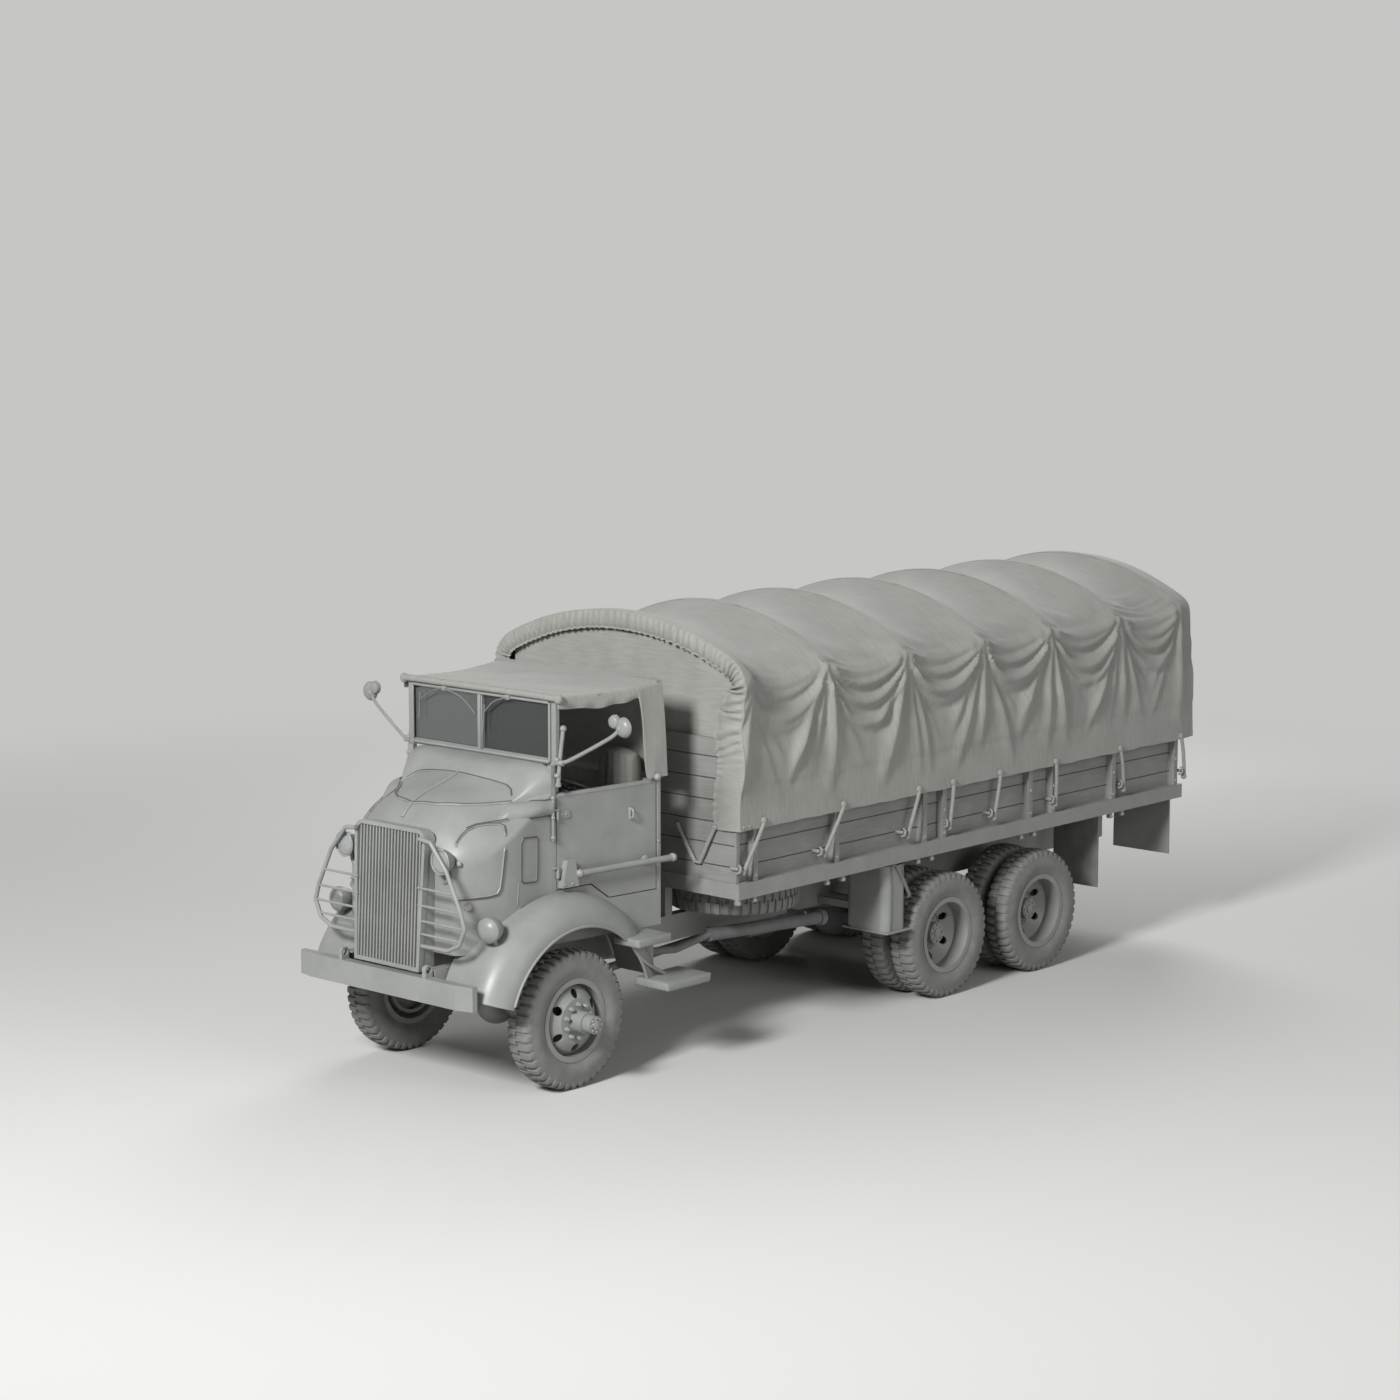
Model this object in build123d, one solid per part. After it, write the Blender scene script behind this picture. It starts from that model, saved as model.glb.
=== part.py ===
"""Cab-over cargo truck with canvas roofs, built as separate parts in one frame, in mm."""
from build123d import *
from math import atan2, cos, degrees, hypot, radians, sin
import os

# Overall: Y is measured back from the front axle here and moved to the middle on saving
BUMPER_FRONT = -908
CANVAS_REAR = 6692
MIDDLE_Y = (BUMPER_FRONT + CANVAS_REAR) / 2

# Wheels and axles
TYRE_RADIUS = 457
TYRE_WIDTH = 205
RIM_RADIUS = 254
RIM_WALL = 14
FRONT_TYRE_X = 765
DUAL_X = 868
DUAL_SPACING = 260
REAR_AXLES = (3607, 4725)
KINGPIN_X = 640
KINGPIN_RADIUS = 22
FRONT_SPINDLE = 32
REAR_SPINDLE = 45
FRONT_HUB_END = 1035
REAR_HUB_END = 984
RUNNING_FIT = 0.05
TIE_ROD_Y = 210
TIE_PIN_RADIUS = 12

# Frame and drive line
RAIL_OUT = 430
RAIL_WIDTH = 80
RAIL_LOW = 690
RAIL_TOP = 870
RAIL_WALL = 8
PINTLE_BORE = 26
RAIL_FRONT = -838
RAIL_REAR = 6440
CROSS_Y = (-770, 1260, 2340, 3300, 4166, 5100, 5900, 6400)
CROSS_DEPTH = 60
CROSS_HEIGHT = 72
ENGINE_HALF = 210
ENGINE_FRONT = -480
ENGINE_REAR = 520
ENGINE_LOW = 640
ENGINE_TOP = 1290

# Nose and cab
NOSE_LOW = 950
NOSE_WALL = 20
CAB_FRONT = -25
CAB_BACK = 905
CAB_HALF_FRONT = 668
CAB_HALF_BACK = 764
CAB_WALL = 30
CAB_LOW = 935
FLOOR_LOW = 1130
FLOOR_TOP = 1160
COWL_TOP = 2108
BELT = 1905
POST_DEPTH = 38
DOOR_GAP = 6
DOOR_THICK = 38
DOOR_LOW = 1182
DOOR_ARCH = 1292
SHIELD_TOP = 2548
SHIELD_HALF = 690
ROOF_FRONT = 2562
ROOF_DIP = 2548
ROOF_BACK = 2588
CLOTH = 8
VALANCE = 95

# Fenders and steps
ARCH_Y = 5
ARCH_Z = 430
ARCH_RADIUS = 650
FENDER_CROWN = 845
FENDER_IN = 440
FENDER_OUT = 905
SHEET = 12

# Load bed and its canvas
BED_FRONT = 1307
BED_REAR = 6530
BED_HALF = 1117
SILL_LOW = 1081
BED_TOP = 1187
SIDE_TOP = 1640
SIDE_THICK = 28
WALL_TOP = 2150
HEM = 1545
CANVAS_HALF = 1122
SHOULDER_HALF = 1066
SHOULDER = 2590
CROWN = 2936
BOW_Y = (1395, 2242, 3108, 3990, 4808, 5690, 6505)
BOW_SIZE = 40
SAG = 95
DRAW_IN = 36
HEM_BAND = 150
SIDE_RECESS = 72
POST_WIDTH = 46
CAP_HEIGHT = 30
SILL_Y = (1345, 2000, 2660, 3300, 3950, 4600, 5500, 6475)
POST_Y = (1474, 2325, 3300, 3525, 4557, 4844, 5618, 6455)

os.makedirs("parts", exist_ok=True)


def block(x, y, z):
    """Box between two limits along each axis."""
    centre = Pos(sum(x) / 2, sum(y) / 2, sum(z) / 2)
    return centre * Box(abs(x[1] - x[0]), abs(y[1] - y[0]), abs(z[1] - z[0]))


def rod(start, end, radius):
    """Round bar between two points."""
    start, end = Vector(*start), Vector(*end)
    plane = Plane(origin=start, z_dir=end - start)
    return extrude(plane * Circle(radius), (end - start).length)


def spun(points):
    """Ring turned about the X axis from points of x and radius."""
    return revolve(make_face(Polyline(*points, close=True)), Axis.X)


def drum(x, radius):
    """Solid cylinder along X."""
    return spun([(x[0], 0), (x[1], 0), (x[1], radius), (x[0], radius)])


def hoop(x, radius):
    """Ring along X between two radii."""
    return spun([(x[0], radius[0]), (x[1], radius[0]), (x[1], radius[1]), (x[0], radius[1])])


def flipped(shape):
    return mirror(shape, about=Plane.YZ)


def side_slab(points, x):
    """Outline of y and z points, given thickness between two X limits."""
    plane = Plane(origin=(x[0], 0, 0), x_dir=(0, 1, 0), z_dir=(1, 0, 0))
    return extrude(plane * make_face(Polyline(*points, close=True)), x[1] - x[0])


def plan_slab(points, z):
    """Outline of x and y points, given height between two Z limits."""
    return extrude(Plane.XY.offset(z[0]) * make_face(Polyline(*points, close=True)), z[1] - z[0])


def save(name, *shapes):
    solids = [Pos(0, -MIDDLE_Y, 0) * solid for shape in shapes for solid in shape.solids()]
    export_step(Compound(solids), f"parts/{name}.step")


# Tyres and wheels, made along X about their own centre
HALF_TYRE = TYRE_WIDTH / 2
BEAD = 0.75 * HALF_TYRE
DISC_RADIUS = RIM_RADIUS - RIM_WALL


def tyre():
    flank = RIM_RADIUS + 26
    bulge = (HALF_TYRE, RIM_RADIUS + 95)
    edge = (0.86 * HALF_TYRE, TYRE_RADIUS - 26)
    tread = (0.68 * HALF_TYRE, TYRE_RADIUS)
    right = Line((BEAD, RIM_RADIUS), (BEAD, flank)) + ThreePointArc((BEAD, flank), bulge, edge)
    right = right + Line(edge, tread)
    outline = right + mirror(right, about=Plane.YZ)
    outline = outline + Line(tread, (-tread[0], tread[1])) + Line((BEAD, RIM_RADIUS), (-BEAD, RIM_RADIUS))
    ring = revolve(make_face(outline), Axis.X)
    roof = TYRE_RADIUS - 52
    hollow = spun([(0.5 * HALF_TYRE, RIM_RADIUS - 1), (0.76 * HALF_TYRE, RIM_RADIUS + 80),
                   (0.6 * HALF_TYRE, roof), (-0.6 * HALF_TYRE, roof),
                   (-0.76 * HALF_TYRE, RIM_RADIUS + 80), (-0.5 * HALF_TYRE, RIM_RADIUS - 1)])
    return ring - hollow


def rim():
    band = hoop((-BEAD, BEAD), (DISC_RADIUS, RIM_RADIUS))
    lip = hoop((BEAD, BEAD + 7), (DISC_RADIUS, RIM_RADIUS + 22))
    return band + lip + flipped(lip)


def dish(points):
    """Wheel disc with a ring of hand holes."""
    disc = spun(points)
    hole = Pos(0, 0, 178) * Rot(0, 90, 0) * Cylinder(30, 400)
    holes = [Rot(turn, 0, 0) * hole for turn in range(0, 360, 60)]
    for hole in holes:
        disc = disc - hole
    return disc


def front_wheel():
    inside = DISC_RADIUS + 1
    disc = dish([(12, inside), (62, 205), (102, 150), (107, 60), (95, 60), (90, 146), (50, 197), (0, inside)])
    end = FRONT_HUB_END - FRONT_TYRE_X
    hub = drum((-40, 200), 72) + drum((200, end), 60)
    brake = hoop((-85, -20), (178, 200)) + hoop((-32, -20), (60, 200))
    bore = drum((-71, 42), FRONT_SPINDLE + RUNNING_FIT)
    return rim() + disc + hub + brake - bore


def rear_wheel():
    reach = DUAL_SPACING / 2
    inside = DISC_RADIUS + 1
    outer = [(reach - 42, inside), (reach - 54, inside), (14, 156), (0, 150)]
    half = dish(outer + [(0, 80), (12, 80), (12, 140), (26, 148)])
    end = REAR_HUB_END - DUAL_X
    hub = drum((-170, 40), 92) + drum((40, end), 76)
    brake = hoop((-215, -140), (178, 205)) + hoop((-152, -140), (80, 205))
    bore = drum((-171, 42), REAR_SPINDLE + RUNNING_FIT)
    rims = Pos(reach, 0, 0) * rim() + Pos(-reach, 0, 0) * rim()
    return rims + half + flipped(half) + hub + brake - bore


TYRE = tyre()
TWIN = [Pos(x, 0, 0) * TYRE for x in (-DUAL_SPACING / 2, DUAL_SPACING / 2)]
FRONT_WHEEL = front_wheel()
REAR_WHEEL = rear_wheel()
for side, turn in (("left", 0), ("right", 180)):
    sign = 1 if side == "left" else -1
    front = Pos(sign * FRONT_TYRE_X, 0, TYRE_RADIUS) * Rot(0, 0, turn)
    save(f"front_tyre_{side}", front * TYRE)
    save(f"front_wheel_{side}", front * FRONT_WHEEL)
    for number, y in enumerate(REAR_AXLES, 1):
        rear = Pos(sign * DUAL_X, y, TYRE_RADIUS) * Rot(0, 0, turn)
        save(f"rear_tyres_{side}_{number}", *[rear * one for one in TWIN])
        save(f"rear_wheels_{side}_{number}", rear * REAR_WHEEL)

# Front axle with a pivot boss at each end
AXLE_Z = TYRE_RADIUS
BOSS_HALF = 50
EAR_HALF = 80
EAR_GAP = 2
PINION_X = 120
axle = Pos(0, 0, AXLE_Z) * (drum((-520, 520), 50) + drum((-KINGPIN_X + 30, KINGPIN_X - 30), 38))
axle = axle + Pos(PINION_X, 0, AXLE_Z) * Sphere(140)
axle = axle + rod((PINION_X, 60, AXLE_Z), (PINION_X, 260, AXLE_Z), 45)
for sign in (1, -1):
    foot = Pos(sign * KINGPIN_X, 0, AXLE_Z)
    axle = axle + foot * Cylinder(42, 2 * BOSS_HALF) + foot * Cylinder(KINGPIN_RADIUS, 2 * EAR_HALF)
SPRING_X = (350, 410)
FRONT_SPRING_LOW = AXLE_Z + 62
for sign in (1, -1):
    axle = axle + block((sign * SPRING_X[0], sign * SPRING_X[1]), (-55, 55), (AXLE_Z, FRONT_SPRING_LOW))
save("front_axle", axle)

# Steering knuckles and the tie rod between their arms
ARM_LOW = AXLE_Z - EAR_HALF
knuckle = block((KINGPIN_X + 55, KINGPIN_X + 78), (-45, 45), (AXLE_Z - EAR_HALF, AXLE_Z + EAR_HALF))
for low, top in ((-EAR_HALF, -BOSS_HALF - EAR_GAP), (BOSS_HALF + EAR_GAP, EAR_HALF)):
    ear = Pos(KINGPIN_X, 0, AXLE_Z + (low + top) / 2) * Cylinder(45, top - low)
    knuckle = knuckle + ear + block((KINGPIN_X, KINGPIN_X + 60), (-45, 45), (AXLE_Z + low, AXLE_Z + top))
knuckle = knuckle + Pos(0, 0, AXLE_Z) * drum((KINGPIN_X + 70, FRONT_TYRE_X + 36), FRONT_SPINDLE)
knuckle = knuckle + block((KINGPIN_X - 18, KINGPIN_X + 18), (20, TIE_ROD_Y + 20), (ARM_LOW, ARM_LOW + 20))
knuckle = knuckle - Pos(KINGPIN_X, 0, AXLE_Z) * Cylinder(KINGPIN_RADIUS + RUNNING_FIT, 300)
tie_pin = rod((KINGPIN_X, TIE_ROD_Y, ARM_LOW - 38), (KINGPIN_X, TIE_ROD_Y, ARM_LOW + 10), TIE_PIN_RADIUS)
knuckle = knuckle + tie_pin
save("knuckle_left", knuckle)
save("knuckle_right", flipped(knuckle))
TIE_Z = ARM_LOW - 20
tie_rod = rod((-KINGPIN_X + 20, TIE_ROD_Y, TIE_Z), (KINGPIN_X - 20, TIE_ROD_Y, TIE_Z), 13)
for sign in (1, -1):
    tie_rod = tie_rod + Pos(sign * KINGPIN_X, TIE_ROD_Y, TIE_Z) * Cylinder(25, 28)
for sign in (1, -1):
    tie_rod = tie_rod - Pos(sign * KINGPIN_X, TIE_ROD_Y, TIE_Z) * Cylinder(TIE_PIN_RADIUS + RUNNING_FIT, 60)
save("tie_rod", tie_rod)

# Frame rails open inwards, and the cross members between them
rail = block((RAIL_OUT - RAIL_WIDTH, RAIL_OUT), (RAIL_FRONT, RAIL_REAR), (RAIL_LOW, RAIL_TOP))
rail = rail - block((RAIL_OUT - RAIL_WIDTH, RAIL_OUT - RAIL_WALL), (RAIL_FRONT, RAIL_REAR),
                    (RAIL_LOW + RAIL_WALL, RAIL_TOP - RAIL_WALL))
save("frame_rails", rail, flipped(rail))
inner = RAIL_OUT - RAIL_WALL
beams = []
for y in CROSS_Y:
    top = RAIL_TOP - RAIL_WALL if y > 0 else RAIL_LOW + RAIL_WALL + CROSS_HEIGHT
    depth = (y - CROSS_DEPTH / 2, y + CROSS_DEPTH / 2)
    beams.append(block((-inner, inner), depth, (top - CROSS_HEIGHT, top)))
pintle_back = CROSS_Y[-1] + CROSS_DEPTH / 2
pintle = block((-60, 60), (pintle_back, pintle_back + 130), (RAIL_TOP - 78, RAIL_TOP - 28))
pintle = pintle - Pos(0, pintle_back + 80, RAIL_TOP - 50) * Cylinder(PINTLE_BORE, 100)
beams[-1] = beams[-1] + pintle
save("frame_crossmembers", *beams)

# Front springs under the rails
def leaf(points_low, points_top, x):
    low, top = ThreePointArc(*points_low), ThreePointArc(*points_top)
    ends = Line(points_low[0], points_top[0]) + Line(points_low[2], points_top[2])
    plane = Plane(origin=(x[0], 0, 0), x_dir=(0, 1, 0), z_dir=(1, 0, 0))
    return extrude(plane * make_face(low + top + ends), x[1] - x[0])


LEAF = 46
eye = RAIL_LOW - 45
spring = leaf(((-510, eye), (0, FRONT_SPRING_LOW), (510, eye)),
              ((-510, eye + 20), (0, FRONT_SPRING_LOW + LEAF), (510, eye + 20)), SPRING_X)
spring = spring + block(SPRING_X, (-540, -500), (eye - 10, RAIL_LOW))
spring = spring + block(SPRING_X, (480, 520), (eye - 10, RAIL_LOW))
save("front_springs", spring, flipped(spring))

# Rear axles
REAR_SEAT = AXLE_Z + 75
REAR_SPRING_X = (440, 520)
rear_axles = []
for y, bulge in zip(REAR_AXLES, (0, 190)):
    one = drum((-640, 640), 58) + drum((-DUAL_X - 30, DUAL_X + 30), REAR_SPINDLE)
    one = one + Pos(bulge, 0, 0) * Sphere(160) + rod((bulge, -60, 0), (bulge, -230, 0), 45)
    one = Pos(0, y, AXLE_Z) * one
    for sign in (1, -1):
        seat = (sign * REAR_SPRING_X[0], sign * REAR_SPRING_X[1])
        one = one + block(seat, (y - 55, y + 55), (AXLE_Z, REAR_SEAT))
    rear_axles.append(one)
save("rear_axles", *rear_axles)

# Rear springs rocking on one cross tube
first, second = REAR_AXLES
pivot = (first + second) / 2
bogie = Pos(0, pivot, REAR_SEAT + 60) * drum((-REAR_SPRING_X[1], REAR_SPRING_X[1]), 42)
for sign in (1, -1):
    x = (sign * REAR_SPRING_X[0], sign * REAR_SPRING_X[1])
    arch = leaf(((first - 60, REAR_SEAT + 4), (pivot, REAR_SEAT + 75), (second + 60, REAR_SEAT + 4)),
                ((first - 60, REAR_SEAT + 24), (pivot, REAR_SEAT + 140), (second + 60, REAR_SEAT + 24)),
                (min(x), max(x)))
    pads = block(x, (first - 50, first + 50), (REAR_SEAT, REAR_SEAT + 20))
    pads = pads + block(x, (second - 50, second + 50), (REAR_SEAT, REAR_SEAT + 20))
    under_rail = (sign * (RAIL_OUT - RAIL_WIDTH), sign * RAIL_OUT)
    hanger = block(under_rail, (pivot - 70, pivot + 70), (REAR_SEAT + 20, RAIL_LOW))
    saddle = block(x, (pivot - 80, pivot + 80), (REAR_SEAT + 50, REAR_SEAT + 90))
    bogie = bogie + arch + pads + hanger + saddle
save("rear_suspension", bogie)

# Engine with its gearbox, and the transfer case behind
case_front = CROSS_Y[2] + CROSS_DEPTH / 2
engine = block((-ENGINE_HALF, ENGINE_HALF), (ENGINE_FRONT, ENGINE_REAR), (ENGINE_LOW, ENGINE_TOP))
gearbox = block((-140, 140), (ENGINE_REAR, ENGINE_REAR + 630), (RAIL_LOW, RAIL_TOP + 140))
transfer = block((-120, 260), (case_front, case_front + 300), (520, 800))
save("engine_and_gearboxes", engine + gearbox, transfer)
ends = engine + gearbox + transfer + axle + rear_axles[0] + rear_axles[1]
shafts = []
for start, end, radius in (((60, ENGINE_REAR + 620, 738), (60, case_front + 10, 640), 38),
                           ((PINION_X, 250, AXLE_Z), (PINION_X, case_front + 10, 580), 30),
                           ((0, case_front + 290, 640), (0, first - 220, AXLE_Z + 4), 36),
                           ((190, case_front + 290, 700), (190, second - 220, AXLE_Z + 4), 34)):
    shafts.append(rod(start, end, radius) - ends)
save("propeller_shafts", *shafts)

# Exhaust under the left rail
pipe_start = (190, ENGINE_REAR, ENGINE_LOW + 32)
pipe_path = FilletPolyline(pipe_start, (250, 900, 640), (480, 1360, 640), (580, 1600, 724), radius=90)
pipe = sweep(Plane(origin=pipe_path @ 0, z_dir=pipe_path % 0) * Circle(26), path=pipe_path)
pipe = pipe + rod((580, 1585, 719), (575, 2790, 646), 45) + rod((575, 2750, 649), (575, 2800, 645), 56)
for y, z in ((1750, 708), (2600, 658)):
    strap = (y - 15, y + 15)
    pipe = pipe + block((RAIL_OUT, 590), strap, (RAIL_LOW + 2, RAIL_LOW + 30))
    pipe = pipe + block((560, 590), strap, (z, RAIL_LOW + 30))
save("exhaust", pipe - engine)

# Front bumper with tow eyes on top
BUMPER_HALF = 812
BUMPER_LOW = 664
BUMPER_TOP = 823
BUMPER_BEVEL = 128
TOW_X = 395
TOW_BORE = 22


def bumper_plan(wall):
    flat = BUMPER_HALF - BUMPER_BEVEL
    front = BUMPER_FRONT + wall
    side = BUMPER_HALF - wall
    back = RAIL_FRONT if wall == 0 else RAIL_FRONT + 1
    left = [(-side, back), (-side, front + 29), (-flat, front)]
    return left + [(flat, front), (side, front + 29), (side, back)]


bumper = plan_slab(bumper_plan(0), (BUMPER_LOW, BUMPER_TOP))
bumper = bumper - plan_slab(bumper_plan(8), (BUMPER_LOW + 8, BUMPER_TOP - 8))
for sign in (1, -1):
    horn = (sign * (RAIL_OUT - RAIL_WIDTH), sign * RAIL_OUT)
    bumper = bumper + block(horn, (BUMPER_FRONT + 4, RAIL_FRONT), (BUMPER_LOW + 4, BUMPER_TOP - 4))
    ear_width = (sign * TOW_X - 16, sign * TOW_X + 16)
    ear = block(ear_width, (BUMPER_FRONT + 4, RAIL_FRONT - 4), (BUMPER_TOP - 4, BUMPER_TOP + 46))
    ear = ear + Pos(sign * TOW_X, (BUMPER_FRONT + RAIL_FRONT) / 2, BUMPER_TOP + 48) * drum((-16, 16), 33)
    bore = Pos(sign * TOW_X, (BUMPER_FRONT + RAIL_FRONT) / 2, BUMPER_TOP + 48) * drum((-30, 30), TOW_BORE)
    bumper = bumper + ear - bore
save("front_bumper", bumper)

# Lofted nose: plan half width, side height, crown and shoulder angle at each station
NOSE = (
    (-725, 470, 1470, 1745, 45),
    (-640, 545, 1500, 1850, 45),
    (-430, 640, 1620, 1940, 50),
    (-215, 658, 1760, 2010, 60),
    (CAB_FRONT, CAB_HALF_FRONT, 1905, COWL_TOP, 66),
)
NOSE_FRONT = NOSE[0][0]


def nose_section(y, half, side, top, angle, inset=0, low=NOSE_LOW):
    half, top = half - inset, top - inset
    s, c = sin(radians(angle)), cos(radians(angle))
    k = (1 - s) / c
    r = (top - side - half * k) / (s - k * (1 - c))
    m = radians(angle / 2)
    bend = [(half, side), (half - r + r * cos(m), side + r * sin(m)), (half - r + r * c, side + r * s)]
    other = [(-x, z) for x, z in bend]
    edges = Line((-half, low), (half, low)) + Line((half, low), bend[0]) + ThreePointArc(*bend)
    edges = edges + ThreePointArc(bend[2], (0, top), other[2]) + ThreePointArc(*other)
    edges = edges + Line(other[0], (-half, low))
    return Plane(origin=(0, y, 0), x_dir=(1, 0, 0), z_dir=(0, -1, 0)) * make_face(edges)


nose_outer = loft([nose_section(*row) for row in NOSE])
rows = [(NOSE[0][0] + NOSE_WALL,) + NOSE[0][1:]] + list(NOSE[1:])
nose_inner = loft([nose_section(*row, inset=NOSE_WALL, low=NOSE_LOW - 50) for row in rows])
save("nose", nose_outer - nose_inner)

# Radiator shell, core and ribbed grille, leaning back with the nose
GRILLE_LOW = 841
GRILLE_TOP = 1755
GRILLE_HALF_LOW = 304
GRILLE_HALF_TOP = 333
GRILLE_BARS = 19
LEAN = 3.1
tilt = Pos(0, -866, GRILLE_LOW) * Rot(-LEAN, 0, 0) * Pos(0, 0, -GRILLE_LOW)


def grille_face(inset):
    low, top = GRILLE_HALF_LOW - inset, GRILLE_HALF_TOP - inset
    z_low, z_top = GRILLE_LOW + inset, GRILLE_TOP - inset
    face = make_face(Polyline((-low, z_low), (low, z_low), (top, z_top), (-top, z_top), close=True))
    corners = face.vertices().sort_by(Axis.Y)
    return fillet(corners[2:], 75 - inset)


FRONT_FACE = Plane(origin=(0, 0, 0), x_dir=(1, 0, 0), z_dir=(0, -1, 0))
ring = extrude(FRONT_FACE * (grille_face(0) - grille_face(26)), -40)
pitch = 2 * (GRILLE_HALF_LOW - 26) / GRILLE_BARS
opening = extrude(FRONT_FACE * grille_face(20), -40)
bars = ring
for n in range(GRILLE_BARS + 1):
    x = -GRILLE_HALF_LOW + 26 + n * pitch
    bars = bars + (block((x - 6, x + 6), (8, 32), (GRILLE_LOW, GRILLE_TOP)) & opening)
for low in (1100, 1420):
    bars = bars + (block((-400, 400), (32, 40), (low, low + 20)) & opening)
grille = tilt * bars
save("grille", grille)
shell = extrude(FRONT_FACE * (grille_face(4) - grille_face(14)), -240)
core = extrude(FRONT_FACE * grille_face(14), -90)
shell = Pos(0, 40, 0) * shell + Pos(0, 60, 0) * core
shell = tilt * shell
shell = shell - block((-500, 500), (NOSE_FRONT, 0), (600, 2000))
cross_top = RAIL_LOW + RAIL_WALL + CROSS_HEIGHT
for sign in (1, -1):
    stand = (CROSS_Y[0] - 25, CROSS_Y[0] + 25)
    shell = shell + block((sign * 200, sign * 260), stand, (cross_top, GRILLE_LOW + 40))
save("radiator", shell)

# Brush guards beside the grille
GUARD_Y = -838
GUARD = ((300, 1700), (400, 1688), (544, 1522), (668, 1279),
         (703, 1168), (652, 1061), (549, 1013), (280, 1008))
GUARD_BARS = ((1383, 610), (1271, 668), (1171, 700), (1087, 660))
guard_path = FilletPolyline(*[(x, GUARD_Y, z) for x, z in GUARD], radius=24)
guard = sweep(Plane(origin=guard_path @ 0, z_dir=guard_path % 0) * Circle(14), path=guard_path)
for z, x in GUARD_BARS:
    guard = guard + rod((280, GUARD_Y, z), (x, GUARD_Y, z), 8)
guard = guard - tilt * extrude(FRONT_FACE * grille_face(0), -260)
save("brush_guards", guard, flipped(guard))

# Slanted cab side: u runs back along the side, v up, normal outwards
slant = atan2(CAB_HALF_BACK - CAB_HALF_FRONT, CAB_BACK - CAB_FRONT)
SIDE_LENGTH = hypot(CAB_HALF_BACK - CAB_HALF_FRONT, CAB_BACK - CAB_FRONT)
SIDE_ALONG = (sin(slant), cos(slant), 0)
SIDE_OUT = (cos(slant), -sin(slant), 0)
SIDE = Plane(origin=(CAB_HALF_FRONT, CAB_FRONT, 0), x_dir=SIDE_ALONG, z_dir=SIDE_OUT)


def side_plate(points, depth):
    """Plate on the cab side, between two depths outwards."""
    face = SIDE.offset(depth[0]) * make_face(Polyline(*points, close=True))
    return extrude(face, depth[1] - depth[0])


def side_box(u, v, depth):
    return side_plate([(u[0], v[0]), (u[1], v[0]), (u[1], v[1]), (u[0], v[1])], depth)


def side_point(u, depth, z):
    return SIDE.from_local_coords((u, z, depth))


cab_plan = [(-CAB_HALF_FRONT, CAB_FRONT), (CAB_HALF_FRONT, CAB_FRONT)]
cab_plan = cab_plan + [(CAB_HALF_BACK, CAB_BACK), (-CAB_HALF_BACK, CAB_BACK)]
DOOR_FRONT = POST_DEPTH + DOOR_GAP
DOOR_BACK = SIDE_LENGTH - POST_DEPTH
sill_out = [(0, CAB_LOW), (SIDE_LENGTH, CAB_LOW), (SIDE_LENGTH, DOOR_LOW - 7)]
sill_out = sill_out + [(480, DOOR_LOW - 7), (330, DOOR_ARCH - 7), (0, DOOR_ARCH - 7)]
tub = plan_slab(cab_plan, (FLOOR_LOW, FLOOR_TOP))
flank = side_plate(sill_out, (-CAB_WALL, 0))
flank = flank + side_box((0, POST_DEPTH), (CAB_LOW, COWL_TOP), (-POST_DEPTH, 0))
tub = tub + flank + flipped(flank)
back = plan_slab(cab_plan, (CAB_LOW, BELT)) & block((-900, 900), (CAB_BACK - 22, CAB_BACK), (CAB_LOW, BELT))
tub = tub + back - block((-170, 170), (CAB_BACK - 60, CAB_BACK + 10), (CAB_LOW - 10, FLOOR_LOW))
for sign in (1, -1):
    corner = sign * (CAB_HALF_BACK - 24)
    tub = tub + rod((corner, CAB_BACK - 12, CAB_LOW), (corner, CAB_BACK - 12, BELT + 25), 23)
cowl = nose_section(CAB_FRONT, *NOSE[4][1:], low=CAB_LOW)
fire_wall = extrude(cowl, -20)
shelf = extrude(cowl, -65) & block((-700, 700), (CAB_FRONT, CAB_FRONT + 65), (COWL_TOP - 60, COWL_TOP))
tub = tub + fire_wall + shelf
tub = tub - block((-ENGINE_HALF - 20, ENGINE_HALF + 20), (CAB_FRONT - 1, 600), (CAB_LOW - 1, ENGINE_TOP + 30))
SEAT_X = (300, 640)
SEAT_FRONT = 430
SEAT_LOW = 1400
for sign in (1, -1):
    seat = (sign * SEAT_X[0], sign * SEAT_X[1])
    tub = tub + block(seat, (SEAT_FRONT, CAB_BACK - 60), (FLOOR_TOP, SEAT_LOW))
for sign in (1, -1):
    for y in (CAB_FRONT, 660):
        rail_seat = (sign * (RAIL_OUT - RAIL_WIDTH), sign * RAIL_OUT)
        tub = tub + block(rail_seat, (y, y + 80), (RAIL_TOP, FLOOR_LOW))
save("cab_tub", tub)

# Engine cover between the seats
cover = block((-270, 270), (CAB_FRONT + 20, 660), (FLOOR_TOP, 1500))
cover = cover - block((-250, 250), (CAB_FRONT + 20, 640), (FLOOR_TOP, 1480))
save("engine_cover", cover)

# Seats
cushions = []
for sign in (1, -1):
    seat = (sign * SEAT_X[0], sign * SEAT_X[1])
    cushions.append(fillet(block(seat, (SEAT_FRONT, CAB_BACK - 140), (SEAT_LOW, SEAT_LOW + 130)).edges(), 30))
    cushions.append(fillet(block(seat, (CAB_BACK - 135, CAB_BACK - 22), (SEAT_LOW, 2110)).edges(), 40))
save("seats", *cushions)

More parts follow.
